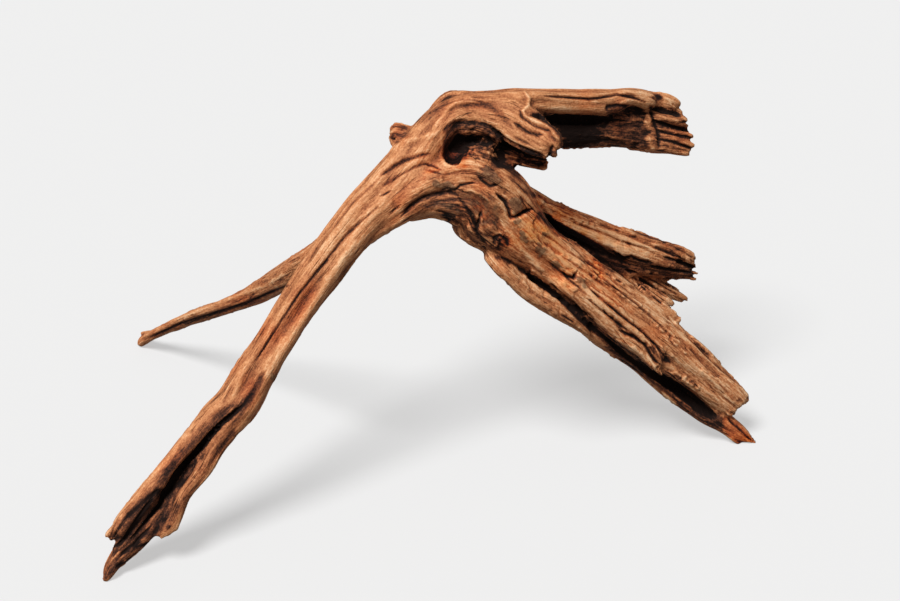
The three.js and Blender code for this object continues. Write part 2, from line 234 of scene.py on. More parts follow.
@dataclass(frozen=True)
class Strand:
    """One bundle of fibres, swept along its stations.

    rows hold across, up, away, half width and half depth. flutes is the number of grooves round
    it and groove their depth as a share of its radius. torn is how far its two ends are torn, and
    rough how strongly the grain stands out on it. square is 2 for an oval section and more for a
    boxy one. wander is how far the grooves stray and swell how much the radius changes, in waves
    of the lengths in waves. scatter stirs the lengths of the torn fibres.
    """

    name: str
    rows: tuple[tuple[float, ...], ...]
    flutes: int = 0
    groove: float = 0.0
    seed: int = 1
    torn: Pair = (2.0, 2.0)
    rough: float = 1.0
    square: float = 2.0
    sides: int = 44
    step: float = 5.0
    wander: Triple = (0.35, 0.2, 0.25)
    swell: Pair = (0.04, 0.05)
    waves: Triple = (55.0, 38.0, 70.0)
    scatter: Pair = (12.99, 4375.85)
    end_pinch: float = 0.25

    def phase(self, index: int) -> float:
        """Return an angle that differs for each strand and index."""
        return GOLDEN_ANGLE * (self.seed * 7 + index * index + index)

    def course(self, sight: Sight) -> Course:
        """Work out the middle line and section at closely spaced stations."""
        rows = np.array(self.rows, dtype=float)
        knots = sight.place(rows[:, :3])
        sizes = np.stack([rows[:, 3] * sight.spread(rows[:, 2]), rows[:, 4]], 1)
        spans = np.linalg.norm(np.diff(knots, axis=0), axis=1)
        counts = [max(1, round(span / self.step)) for span in spans]
        points, slopes = smooth_path(knots, counts)
        halves, _ = smooth_path(sizes, counts)
        tangents = unit(slopes)
        away = np.broadcast_to(sight.away(), tangents.shape)
        depths = unit(away - tangents * np.sum(away * tangents, 1, keepdims=True))
        sides = np.cross(depths, tangents)
        hops = np.linalg.norm(np.diff(points, axis=0), axis=1)
        along = np.concatenate([[0.0], np.cumsum(hops)])
        return Course(points, tangents, sides, depths, halves[:, 0], halves[:, 1], along)

    def fluting(self, angle: np.ndarray, along: np.ndarray) -> np.ndarray:
        """Return the radius of the section as a share of its plain radius."""
        waves = [along / length for length in self.waves]
        wander = (
            self.wander[0] * np.sin(angle + self.phase(1))
            + self.wander[1] * np.sin(2 * angle + self.phase(2))
            + self.wander[2] * np.sin(waves[0] + self.phase(3))
        )
        notch = (1 - np.abs(np.sin(self.flutes * (angle + wander) / 2))) ** 2
        swell = self.swell[0] * np.sin(waves[1] + self.phase(4))
        swell = swell + self.swell[1] * np.sin(2 * angle + waves[2] + self.phase(5))
        radius = 1 + (swell if self.groove > 0 else 0) - self.groove * notch
        across, deep = np.abs(np.cos(angle)), np.abs(np.sin(angle))
        return radius * (across**self.square + deep**self.square) ** (-1 / self.square)

    def fibres(self, angle: np.ndarray, salt: int) -> np.ndarray:
        """Return how far short of the end each fibre stops, from 0 to 1."""
        share = (angle + 0.3 * np.sin(3 * angle + self.phase(salt))) / (2 * np.pi)
        total = np.zeros_like(angle)
        for count, weight in ((self.sides // 8, 0.55), (self.sides // 3, 0.45)):
            fibre = np.floor(share * count) % count
            stirred = np.sin(fibre * self.scatter[0] + self.phase(salt)) * self.scatter[1]
            total += weight * np.abs(np.modf(stirred)[0])
        return total

    def rings(self, course: Course) -> np.ndarray:
        """Work out the places of the points round every station.

        Args:
            course: the strand's own course.

        Returns:
            An array of stations by sides by x, y and z.
        """
        angle = 2 * np.pi * np.arange(self.sides) / self.sides
        along = np.broadcast_to(course.along[:, None], (len(course.along), self.sides))
        turn = np.broadcast_to(angle[None, :], along.shape)
        radius = self.fluting(turn, along)
        shift = np.zeros_like(radius)
        for end, torn in enumerate(self.torn):
            reach = torn * self.fibres(angle, end + 1)[None, :]
            left = along if end == 0 else course.length() - along
            over = np.clip(reach - left, 0.0, None)
            radius = radius * (1 - self.end_pinch * ramp(over, 0.0, np.maximum(reach, 0.5)))
            shift = shift + (over if end == 0 else -over)
        wide = (course.wide[:, None] * radius * np.cos(turn))[..., None]
        deep = (course.deep[:, None] * radius * np.sin(turn))[..., None]
        return (
            course.points[:, None, :]
            + wide * course.sides[:, None, :]
            + deep * course.depths[:, None, :]
            + shift[..., None] * course.tangents[:, None, :]
        )

    def model(self, sight: Sight) -> bpy.types.Object:
        """Model the strand: a circle extruded station by station, closed and set to its section.

        Args:
            sight: the line of sight that its rows are set out from.

        Returns:
            The closed strand, in metres.
        """
        rings = self.rings(self.course(sight))
        bpy.ops.object.select_all(action="DESELECT")
        bpy.ops.mesh.primitive_circle_add(vertices=self.sides, radius=1.0, fill_type="NOTHING")
        strand = bpy.context.active_object
        strand.name = self.name
        bpy.ops.object.mode_set(mode="EDIT")
        for _ in range(len(rings) - 1):
            bpy.ops.mesh.extrude_region_move(TRANSFORM_OT_translate={"value": (0.0, 0.0, 1.0)})
        bpy.ops.mesh.select_all(action="SELECT")
        bpy.ops.mesh.fill_holes(sides=0)
        bpy.ops.object.mode_set(mode="OBJECT")
        straight = rows_of(strand.data.vertices, "co")
        ring = np.rint(straight[:, 2]).astype(int)
        turn = np.arctan2(straight[:, 0], straight[:, 1]) / (2 * np.pi) * self.sides
        side = np.rint(turn).astype(int) % self.sides
        set_vertex_places(strand.data, rings[ring, side] * MM)
        bpy.ops.object.mode_set(mode="EDIT")
        bpy.ops.mesh.select_all(action="SELECT")
        bpy.ops.mesh.quads_convert_to_tris()
        bpy.ops.mesh.normals_make_consistent(inside=False)
        bpy.ops.object.mode_set(mode="OBJECT")
        return strand


@dataclass(frozen=True)
class Splinter:
    """One pointed splinter of a torn end: where it starts, where it ends and its half width."""

    start: Triple
    end: Triple
    width: float
    taper: Points = ((0.0, 1.0), (0.5, 0.95), (0.85, 0.7), (1.0, 0.35))
    depth: float = 1.5

    def strand(self) -> Strand:
        """Return it as a strand that thins towards its end."""
        first, last = np.array(self.start), np.array(self.end)
        rows = []
        for share, size in self.taper:
            place = first + (last - first) * share
            rows.append((*place, self.width * size, self.width * size * self.depth))
        seed = int(abs(last[0] + last[1])) % 97
        return Strand("splinter", tuple(rows), 2, 0.1, seed, (0.0, 2.0), square=3.0, sides=16, step=3.0)


def rows_of(items: bpy.types.bpy_prop_collection, name: str) -> np.ndarray:
    """Return a property of three numbers of every item, as rows."""
    values = np.empty(len(items) * 3, dtype=np.float32)
    items.foreach_get(name, values)
    return values.reshape(-1, 3).astype(float)


def set_vertex_places(mesh: bpy.types.Mesh, places: np.ndarray) -> None:
    """Move a mesh's vertices to the places in rows."""
    mesh.vertices.foreach_set("co", places.astype(np.float32).ravel())
    mesh.update()


def pick(*objects: bpy.types.Object) -> None:
    """Select these objects alone, and make the first of them active."""
    bpy.ops.object.select_all(action="DESELECT")
    for obj in objects:
        obj.select_set(True)
    bpy.context.view_layer.objects.active = objects[0]


def apply_modifier(obj: bpy.types.Object, kind: str, **settings: object) -> None:
    """Give an object a modifier and apply it at once.

    Args:
        obj: the object to change.
        kind: the modifier's type.
        settings: the modifier's own settings.
    """
    pick(obj)
    modifier = obj.modifiers.new(kind.lower(), kind)
    for key, value in settings.items():
        setattr(modifier, key, value)
    bpy.ops.object.modifier_apply(modifier=modifier.name)


def fuse(pieces: list[bpy.types.Object], voxel: float) -> bpy.types.Object:
    """Join closed pieces and remesh them into one skin.

    Args:
        pieces: closed pieces that overlap.
        voxel: the size of the new skin's faces, in millimetres.

    Returns:
        The one object that is left.
    """
    pick(*pieces)
    if len(pieces) > 1:
        bpy.ops.object.join()
    apply_modifier(pieces[0], "REMESH", mode="VOXEL", voxel_size=voxel * MM, adaptivity=0.0)
    return pieces[0]


def beside(path: Points, across: np.ndarray, up: np.ndarray) -> tuple[np.ndarray, np.ndarray, float]:
    """Find the nearest point of a drawn line.

    Args:
        path: the line's corners.
        across: places across the view.
        up: places up the view.

    Returns:
        The distance to it, how far along the line it is, and the line's length.
    """
    knots = np.array(path, dtype=float)
    steps = np.diff(knots, axis=0)
    lengths = np.linalg.norm(steps, axis=1)
    starts = np.concatenate([[0.0], np.cumsum(lengths)])
    best = np.full(len(across), 1e9)
    place = np.zeros(len(across))
    for knot, step, length, start in zip(knots, steps, lengths, starts):
        dx, dy = across - knot[0], up - knot[1]
        t = np.clip((dx * step[0] + dy * step[1]) / length**2, 0.0, 1.0)
        gap = np.hypot(dx - t * step[0], dy - t * step[1])
        closer = gap < best
        best = np.where(closer, gap, best)
        place = np.where(closer, start + t * length, place)
    return best, place, float(starts[-1])


@dataclass(frozen=True)
class Mark:
    """One carved line, as it looks: a groove, crack, ridge or edge.

    height is how far it stands up, or is cut in when it is negative. shade is painted shade along
    it, and a painted highlight when it is negative, and red reddens it. end_width and end_force are
    what is left of its width and its force at its two ends.
    """

    name: str
    path: Points
    width: float
    height: float
    shade: float
    red: float = 0.0
    end_share: float = 0.12
    shortest_end: float = 4.0
    end_width: float = 0.45
    end_force: float = 0.35

    def nearness(self, across: np.ndarray, up: np.ndarray) -> np.ndarray:
        """Return 1 on the line, falling to 0 well beside it and towards its ends."""
        best, place, total = beside(self.path, across, up)
        taper = np.minimum(place, total - place) / max(self.end_share * total, self.shortest_end)
        taper = np.clip(taper, 0.0, 1.0)
        width = self.width * (self.end_width + (1 - self.end_width) * taper)
        force = self.end_force + (1 - self.end_force) * taper
        return np.exp(-((best / width) ** 2)) * force


class StainAndShade(Enum):
    """What a patch paints on the surface: bark, red stain, painted shadow together with darker wood, and
    painted highlight together with paler wood.
    """

    BARK = "bark"
    DARK = "dark"
    PALE = "pale"
    RED = "red"


@dataclass(frozen=True)
class Patch:
    """A patch of one kind (bark, red stain, painted shadow, painted highlight) as it looks: its middle,
    half length, half width and turn in degrees.
    """

    coat: StainAndShade
    across: float
    up: float
    long: float
    wide: float
    turn: float
    amount: float
    crisp: float = 0.12
    soft: float = 0.55

    @classmethod
    def each(cls, coat: StainAndShade, *rows: tuple[float, ...]) -> "tuple[Patch, ...]":
        """Return a patch of one kind for each row of across, up, long, wide, turn and amount."""
        return tuple(cls(coat, *row) for row in rows)

    def cover(self, across: np.ndarray, up: np.ndarray, edge: np.ndarray) -> np.ndarray:
        """Return how strongly the patch covers each place.

        Args:
            across: places across the view.
            up: places up the view.
            edge: how far the patch's rim is pushed in or out at each place.

        Returns:
            From 0 to the patch's amount.
        """
        turn = math.radians(self.turn)
        dx, dy = across - self.across, up - self.up
        x = (dx * math.cos(turn) + dy * math.sin(turn)) / self.long
        y = (dy * math.cos(turn) - dx * math.sin(turn)) / self.wide
        reach = np.hypot(x, y) + edge
        soft = self.crisp if self.coat is StainAndShade.BARK else self.soft
        return self.amount * (1.0 - ramp(reach, 1.0 - soft, 1.0 + soft))


@dataclass(frozen=True)
class Face:
    """A face of the wood of one kind (bark, red stain, painted shadow, painted highlight) as it looks: its
    outline, amount and softness.
    """

    coat: StainAndShade
    amount: float
    soft: float
    outline: Points
    bark_swing: float = 3.2

    def cover(self, across: np.ndarray, up: np.ndarray, edge: np.ndarray) -> np.ndarray:
        """Return how strongly the face covers each place.

        Args:
            across: places across the view.
            up: places up the view.
            edge: how far the rim is pushed in or out at each place.

        Returns:
            From 0 to the face's amount.
        """
        closed = (*self.outline, self.outline[0])
        gap = beside(closed, across, up)[0]
        inside = np.zeros(len(across), dtype=bool)
        for (x0, y0), (x1, y1) in zip(closed, closed[1:]):
            crosses = (y0 > up) != (y1 > up)
            inside ^= crosses & (across < x0 + (up - y0) * (x1 - x0) / ((y1 - y0) or 1.0))
        swing = self.bark_swing if self.coat is StainAndShade.BARK else self.soft
        reach = np.where(inside, -gap, gap) + swing * edge
        return self.amount * (1.0 - ramp(reach, -self.soft, self.soft))


@dataclass(frozen=True)
class Limb:
    """One limb of the piece: its strands, the splits cut into it, its carved lines and patches."""

    name: str
    strands: tuple[Strand, ...] = ()
    splits: tuple[Strand, ...] = ()
    splinters: tuple[Splinter, ...] = ()
    marks: tuple[Mark, ...] = ()
    patches: tuple[Patch, ...] = ()
    faces: tuple[Face, ...] = ()


@dataclass(frozen=True)
class FrontLeg(Limb):
    """The long smooth leg that comes forward, and splits in two near its tip."""

    name: str = "front leg"
    strands: tuple[Strand, ...] = (
        Strand("front_leg", ((-250, -147, -145, 14, 12), (-233, -123, -145, 20, 17),
            (-213, -104, -144, 22, 19), (-195, -73, -143, 21.5, 20), (-175, -41, -142, 20, 20),
            (-154, -6, -141, 20.5, 20), (-132, 25, -140, 22, 21), (-113, 51, -138, 23, 22),
            (-86, 84, -136, 26, 24), (-64, 104, -133, 30, 27), (-36, 136, -130, 29, 29),
            (-10, 172, -130, 23, 28), (12, 188, -130, 19, 26), (40, 192, -130, 17, 25),
            (66, 194, -128, 17, 23), (92, 198, -118, 13, 20), (130, 198, -100, 13, 18),
            (157, 198, -86, 14, 17), (176, 203, -76, 10, 16), (196, 201, -66, 10.5, 14),
            (207, 196, -60, 7, 9)), flutes=5, groove=0.2, seed=1, torn=(8, 16), rough=0.4),
        Strand("front_leg_left_wall", ((-339, -240, -152, 7, 7), (-323, -221, -152, 12, 11),
            (-300, -194, -151, 12, 12), (-279, -169, -150, 12.5, 13), (-259, -145, -149, 13, 14),
            (-240, -120, -147, 12, 14), (-221, -99, -145, 9, 11)), flutes=3, groove=0.15, seed=2,
            torn=(16, 4), rough=0.5),
        Strand("front_leg_right_wall", ((-292, -238, -146, 5, 6), (-278, -222, -146, 9, 8),
            (-265, -193, -147, 8, 9), (-246, -169, -147, 9.5, 10), (-234, -147, -147, 10.5, 11),
            (-220, -128, -146, 12, 13), (-205, -110, -145, 13, 13)), flutes=4, groove=0.2, seed=3,
            torn=(12, 4), rough=0.5),
        Strand("front_leg_tip", ((-346, -281, -150, 2.5, 3), (-340, -266, -149, 6.5, 5),
            (-328, -253, -147, 11, 7), (-312, -232, -144, 16, 8), (-292, -205, -141, 18, 9),
            (-268, -174, -139, 18, 10), (-245, -144, -140, 17, 12), (-225, -120, -143, 15, 12)), flutes=3,
            groove=0.12, seed=4, torn=(4, 4), rough=0.9),
    )
    splits: tuple[Strand, ...] = (
        Strand("open_split", ((-206, -101.5, -167, 1, 4), (-214, -110.5, -166, 1.8, 9),
            (-228, -123.5, -164, 2, 12), (-245, -141.5, -163, 2.3, 14), (-264, -162.5, -162, 2.8, 15),
            (-281, -187.5, -161, 3.6, 14), (-294, -205.5, -161, 4.6, 13), (-310, -225.5, -161, 5, 11),
            (-326, -243.5, -162, 3.6, 8), (-336, -251.5, -162, 2, 4)), sides=16),
        Strand("channel", ((-236, -145.5, -168, 2.5, 6), (-251, -165.5, -167, 4, 8),
            (-266, -186.5, -166, 6, 9), (-280, -206.5, -164, 8, 9), (-300, -229.5, -164, 8, 8),
            (-318, -248.5, -162, 5, 6)), sides=16),
    )
    splinters: tuple[Splinter, ...] = (
        Splinter((-324, -219.5, -150), (-346, -236.5, -152), 3.4),
        Splinter((-328, -227.5, -150), (-341, -240.5, -152), 2.6),
        Splinter((-278, -219.5, -147), (-290, -240.5, -147), 3),
        Splinter((-270, -214.5, -147), (-274, -231.5, -147), 2.6),
        Splinter((-246, -159.5, -147), (-258, -191.5, -147), 6.5),
        Splinter((-326, -231.5, -150), (-337, -252.5, -150), 3.2),
        Splinter((-334, -265.5, -150), (-347, -281.5, -152), 3.6),
        Splinter((-320, -215.5, -150), (-345, -236.5, -152), 4.6),
    )
    # Each mark's shade is painted shade along the line, and a painted highlight where it is negative.
    marks: tuple[Mark, ...] = (
        Mark("groove beside the ridge", ((-72, 93.5), (-89, 79.5), (-105, 63.5), (-123, 40.5), (-149, 9.5),
            (-170, -21.5), (-194, -59.5)), 1.6, -2, 0.52),
        Mark("broad valley", ((-123, 38.5), (-150, -5.5), (-192, -57.5), (-212, -99.5)), 7, -2.6, 0.2,
            0.4),
        Mark("bright ridge", ((-95, 59.5), (-122, 20.5), (-144, -15.5), (-164, -46.5), (-192, -92.5)), 4,
            1.6, -0.14),
        Mark("shaded strip", ((-85, 52.5), (-114, 10.5), (-141, -27.5), (-167, -71.5), (-180, -95.5)), 3,
            -1.2, 0.26, 0.1),
        Mark("upper groove", ((-69, 123.5), (-98, 96.5), (-120, 68.5), (-145, 34.5)), 1.6, -1.4, 0.35),
        Mark("upper ridge", ((-58, 140.5), (-84, 108.5), (-112, 74.5), (-138, 42.5)), 4.5, 1, -0.1),
        Mark("thin crack", ((-70, 104.5), (-63, 107.5), (-58, 110.5)), 1, -1.6, 0.6),
        Mark("thin crack below", ((-61, 85.5), (-55, 91.5), (-49, 96.5)), 1.1, -1.6, 0.6),
        Mark("valley above the split", ((-186, -71.5), (-197, -90.5), (-206, -103.5), (-218, -113.5)), 4.5,
            -2.2, 0.45, 0.2),
        Mark("shaded side of the left wall", ((-218, -104.5), (-237, -121.5), (-255, -138.5),
            (-271, -156.5), (-285, -175.5), (-296, -189.5)), 5, -0.4, 0.36, 0.2),
        Mark("open split", ((-208, -105.5), (-226, -120.5), (-236, -129.5), (-249, -145.5), (-262, -158.5),
            (-274, -173.5), (-282, -188.5), (-288, -196.5), (-292, -205.5), (-302, -216.5),
            (-307, -223.5)), 2.2, -4, 1.1),
        Mark("gash in the left wall", ((-325, -218.5), (-308, -202.5), (-296, -193.5), (-286, -188.5)), 3,
            -1.6, 0.55, 0.3),
        Mark("sliver in the split", ((-288, -193.5), (-293, -200.5), (-308, -218.5), (-319, -233.5),
            (-331, -248.5)), 1.6, 3, -0.45),
        Mark("groove by the sliver", ((-298, -199.5), (-308, -212.5), (-318, -227.5), (-326, -240.5),
            (-336, -246.5)), 1.9, -2.8, 0.9),
        Mark("left wall end", ((-339, -239.5), (-337, -249.5)), 2, -2, 0.9),
        Mark("right wall groove", ((-212, -123.5), (-228, -146.5), (-242, -169.5), (-256, -189.5)), 1.6,
            -0.6, 0.12),
        Mark("floor groove", ((-300, -227.5), (-315, -242.5), (-330, -255.5)), 1.8, -1.8, 0.4),
        Mark("under the tip", ((-346, -279.5), (-335, -267.5), (-320, -259.5), (-310, -250.5)), 2.4, -1,
            0.5),
    )
    # Dark patches are painted shadow in the pits and notch of the split; pale ones are painted highlight
    # on the lit top of the leg, with paler wood.
    patches: tuple[Patch, ...] = (
        *Patch.each(StainAndShade.BARK, (-177, -76.5, 5, 3, -60, 1)),
        *Patch.each(StainAndShade.DARK, (-286, -219.5, 2.5, 1.5, 20, 0.8), (-281, -226.5, 3.2, 2.2, 30, 0.8),
            (-212, -134.5, 4, 3, 0, 0.5)),
        *Patch.each(StainAndShade.PALE, (-98, 68.5, 46, 14, 50, 0.2), (-158, -21.5, 50, 9, 55, 0.14),
            (-330, -247.5, 22, 8, 50, 0.05)),
        *Patch.each(StainAndShade.RED, (-200, -89.5, 30, 9, 60, 0.2)),
    )
    # Dark faces paint shade into the split and the channel, and darken the lower leg, which is darker wood
    # as well; the pale face is painted light on the channel floor.
    faces: tuple[Face, ...] = (
        Face(StainAndShade.DARK, 0.12, 2, ((-211, -108.5), (-229, -128.5), (-244, -152.5), (-252, -166.5),
            (-258, -173.5), (-269, -192.5), (-272, -202.5), (-275, -208.5), (-284, -212.5), (-295, -224.5),
            (-308, -240.5), (-321, -252.5), (-332, -256.5), (-331, -247.5), (-319, -233.5), (-308, -218.5),
            (-292, -199.5), (-282, -188.5), (-274, -173.5), (-262, -158.5), (-249, -145.5), (-236, -129.5),
            (-226, -120.5))),
        Face(StainAndShade.DARK, 0.18, 2.5, ((-275, -208.5), (-266, -216.5), (-276, -230.5), (-285, -238.5),
            (-296, -238.5), (-306, -246.5), (-312, -253.5), (-312, -244.5), (-298, -227.5),
            (-288, -214.5))),
        Face(StainAndShade.PALE, 0.36, 3, ((-224, -120.5), (-218, -123.5), (-236, -149.5), (-248, -171.5),
            (-260, -189.5), (-272, -203.5), (-280, -197.5), (-268, -175.5), (-252, -151.5))),
        Face(StainAndShade.DARK, 0.6, 6, ((-188, -83.5), (-210, -119.5), (-228, -151.5), (-250, -179.5),
            (-258, -197.5), (-284, -229.5), (-310, -249.5), (-346, -281.5), (-350, -273.5), (-338, -251.5),
            (-344, -237.5), (-318, -207.5), (-280, -164.5), (-236, -119.5), (-206, -97.5))),
        Face(StainAndShade.DARK, 0.25, 2.5, ((-338, -240.5), (-320, -219.5), (-300, -199.5), (-288, -189.5),
            (-290, -204.5), (-310, -229.5), (-330, -251.5), (-337, -251.5))),
    )


@dataclass(frozen=True)
class RearLeg(Limb):
    """The slim leg that goes back."""

    name: str = "rear leg"
    strands: tuple[Strand, ...] = (
        Strand("rear_leg", ((-112, 68, -136, 12, 13), (-130, 50, -120, 12, 14), (-154, 31, -72, 13.5, 15),
            (-187, 11, 0, 12.5, 13), (-221, -4.5, 61, 8.2, 10), (-253, -15.5, 116, 7.3, 9),
            (-288, -30, 177, 6.4, 8), (-305, -39, 207, 6, 7), (-310, -44, 216, 4, 5)), flutes=4,
            groove=0.22, seed=5, torn=(4, 8), rough=0.6),
    )
    splinters: tuple[Splinter, ...] = (
        Splinter((-293, -32.5, 188), (-309, -32.5, 213), 2.8),
        Splinter((-298, -37.5, 206), (-311, -44.5, 216), 2.6),
    )
    # Each mark's shade is painted shade along the line, and a painted highlight where it is negative.
    marks: tuple[Mark, ...] = (
        Mark("long groove", ((-306, -39.5), (-269, -23.5), (-237, -13.5), (-205, -3.5), (-162, 15.5)), 1.8,
            -2.4, 0.8),
        Mark("lit ridge", ((-280, -21.5), (-226, -0.5), (-182, 15.5), (-154, 33.5)), 2.4, 1, -0.3),
    )
    # The dark patch makes the whole leg a little darker.
    patches: tuple[Patch, ...] = (
        *Patch.each(StainAndShade.DARK, (-230, -9.5, 90, 30, 20, 0.16)),
    )


@dataclass(frozen=True)
class Fork(Limb):
    """The knotted fork: a folded sheet over a knot hole, with a burl in it."""

    name: str = "fork"
    strands: tuple[Strand, ...] = (
        Strand("fork_bridge", ((-92, 62, -136, 13, 16), (-62, 88, -136, 20, 21), (-34, 110, -136, 26, 24),
            (-6, 122, -133, 26, 24), (22, 124, -128, 24, 25), (50, 112, -120, 24, 26),
            (74, 90, -104, 20, 22)), flutes=4, groove=0.14, seed=6, rough=0.85),
        Strand("fork_core", ((-30, 150, -118, 20, 20), (-4, 160, -112, 28, 24), (24, 164, -106, 26, 25),
            (50, 160, -104, 22, 22), (70, 150, -104, 14, 16)), flutes=3, groove=0.1, seed=21, rough=1.4),
        Strand("fork_fold", ((-18, 176, -132, 12, 16), (8, 190, -136, 14, 18), (36, 188, -140, 19, 17),
            (58, 183, -144, 23, 16), (75, 172, -148, 23.5, 13), (89, 161, -151, 20, 10),
            (98, 155, -152, 15.5, 8), (104, 151, -153, 10, 5)), flutes=4, groove=0.12, seed=7, torn=(2, 6),
            rough=0.35),
        Strand("fork_roll", ((80, 202, -136, 3, 4), (78, 191, -143, 3.5, 5), (85, 182, -149, 3.5, 5),
            (97, 174, -153, 3.8, 5), (106, 166, -155, 4, 5), (111, 156, -156, 3.5, 4)), flutes=0, groove=0,
            seed=22, torn=(2, 3), rough=0.2),
        Strand("fork_corner", ((-18, 190, -128, 4, 8), (-3, 203, -128, 5, 10), (12, 205, -128, 5, 12),
            (32, 203.5, -128, 4, 12)), flutes=0, groove=0, seed=30, square=3),
        Strand("fork_underside", ((38, 156, -122, 14, 12), (60, 149, -118, 12, 11),
            (80, 143, -116, 11, 10), (93, 141, -114, 8, 8), (101, 143, -113, 5, 5)), flutes=3, groove=0.15,
            seed=8, torn=(2, 8), rough=1.2),
        Strand("burl", ((16, 152, -126, 6, 6), (24, 150, -134, 11, 11), (33, 147, -136, 12, 12),
            (44, 142, -130, 8, 9)), flutes=4, groove=0.15, seed=9, rough=2.6),
        Strand("cavity_roof", ((-4, 172, -132, 5, 9), (10, 174, -138, 8, 13), (26, 173, -141, 8, 13),
            (40, 168, -141, 8, 12), (50, 158, -138, 6, 9)), flutes=3, groove=0.1, seed=41, rough=2.4),
        Strand("knob", ((-61, 166, -122, 6, 5), (-56, 166, -122, 11.5, 10), (-46, 164, -123, 11.5, 10),
            (-32, 158, -125, 11, 10)), flutes=4, groove=0.12, seed=10, rough=2),
    )
    splits: tuple[Strand, ...] = (
        Strand("knot_hole", ((9, 166.5, -158, 4, 6), (6, 160.5, -155, 8, 13), (4, 151.5, -154, 11.5, 16),
            (3, 142.5, -154, 11, 14), (2, 135.5, -158, 6, 8)), sides=24),
        Strand("lip_recess", ((40, 162.5, -160, 4, 5), (50, 152.5, -154, 5.5, 12),
            (60, 144.5, -152, 6, 13), (74, 141.5, -150, 5, 12), (92, 139.5, -150, 3, 8)), sides=16),
    )
    splinters: tuple[Splinter, ...] = (
        Splinter((80, 150.5, -148), (96, 144, -150), 4),
        Splinter((98, 162.5, -150), (113.5, 154, -152), 4.2),
        Splinter((70, 140.5, -118), (99, 132, -114), 5),
        Splinter((93, 157.5, -150), (107, 143.5, -152), 4.6),
        Splinter((-14, 188.5, -128), (-0.5, 208, -130), 4),
        Splinter((90, 162.5, -150), (111, 152.5, -153), 5.2),
        Splinter((82, 154.5, -150), (99, 142.5, -152), 4.6),
        Splinter((54, 154.5, -122), (75, 144.5, -134), 3.6),
    )
    # Each mark's shade is painted shade along the line, and a painted highlight where it is negative.
    marks: tuple[Mark, ...] = (
        Mark("top of the roof", ((-7, 166.5), (-3, 173.5), (5, 177.5), (20, 178.5), (34, 176.5),
            (42, 172.5)), 1.6, -1, 0.14),
        Mark("under the lip", ((42, 171.5), (48, 166.5), (54, 160.5), (63, 155.5), (73, 151.5),
            (83, 147.5), (95, 143.5)), 2.2, -4.5, 0.8),
        Mark("lip edge", ((-5, 173.5), (3, 181.5), (13, 183.5), (28, 182.5), (40, 179.5), (48, 173.5),
            (55, 166.5), (64, 161.5), (74, 156.5), (85, 151.5), (96, 148.5)), 2.4, 0.8, -0.04),
        Mark("rolled edge", ((74, 209.5), (79, 202.5), (78, 194.5), (73, 189.5), (75, 184.5), (84, 179.5),
            (95, 175.5), (102, 170.5), (108, 162.5), (112, 156.5)), 2, 2, -0.22),
        Mark("groove by the roll", ((70, 190.5), (72, 183.5), (79, 178.5), (87, 173.5), (96, 170.5),
            (101, 169.5)), 1.6, -1.4, 0.4),
        Mark("second fold", ((65, 177.5), (72, 172.5), (78, 168.5), (86, 166.5), (93, 165.5)), 2.4, -2.4,
            0.4),
        Mark("third fold", ((64, 163.5), (71, 159.5), (79, 155.5)), 1.8, -1.6, 0.35),
        Mark("tip notch", ((99, 143.5), (101, 150.5), (103, 155.5)), 1.9, -2.8, 0.65),
        Mark("crest of the hood", ((-17, 171.5), (-9, 182.5), (0, 193.5), (7, 198.5), (17, 199.5),
            (28, 198.5)), 2.2, 1.4, -0.16),
        Mark("valley in the hood", ((9, 193.5), (20, 195.5), (33, 195.5), (44, 191.5), (53, 183.5),
            (61, 173.5)), 3.6, -1.6, 0.2, 0.2),
        Mark("fold of the hood", ((20, 204.5), (37, 203.5), (53, 205.5), (67, 203.5)), 2.4, -0.9, 0.1),
        Mark("corner", ((-4, 201.5), (-1, 204.5), (2, 207.5)), 2.4, 0.8, 0.12),
        Mark("ridge to the hole", ((-62, 148.5), (-46, 159.5), (-33, 161.5), (-18, 165.5), (-9, 169.5)),
            3.2, 1.4, -0.1),
        Mark("groove below it", ((-70, 124.5), (-55, 134.5), (-45, 140.5), (-29, 145.5), (-20, 146.5)),
            2.3, -2.2, 0.5, 0.6),
        Mark("second groove below it", ((-67, 114.5), (-50, 125.5), (-35, 133.5), (-22, 137.5)), 1.6, -1.2,
            0.25, 0.6),
        Mark("furrows by the hole", ((-26, 136.5), (-17, 134.5), (-9, 130.5)), 1.3, -1.4, 0.4, 0.6),
        Mark("lower furrow by the hole", ((-24, 130.5), (-16, 128.5), (-8, 126.5)), 1.2, -1.2, 0.35, 0.6),
        Mark("rim of the hole", ((-9, 164.5), (-8, 153.5), (-9, 144.5), (-5, 136.5), (3, 133.5),
            (11, 136.5), (17, 143.5), (20, 150.5)), 2, 0.8, -0.1, 0.3),
        Mark("edge of the bark", ((27, 124.5), (33, 119.5), (40, 114.5), (48, 115.5)), 1.5, -1.8, 0.6),
        Mark("crack in the bridge", ((-9, 110.5), (-3, 112.5), (5, 110.5), (11, 115.5), (26, 118.5)), 1.3,
            -2, 0.7),
        Mark("crevice over the arch", ((-48, 84.5), (-39, 94.5), (-28, 102.5), (-15, 106.5), (-1, 108.5),
            (8, 105.5)), 2.4, -2.6, 0.6),
        Mark("edge of the arch", ((-26, 87.5), (-10, 93.5), (6, 87.5), (18, 74.5), (30, 57.5)), 2.6, 1,
            -0.2),
        Mark("hollow under the arch", ((-7, 86.5), (-1, 82.5), (4, 80.5)), 2.6, -2, 0.6),
    )
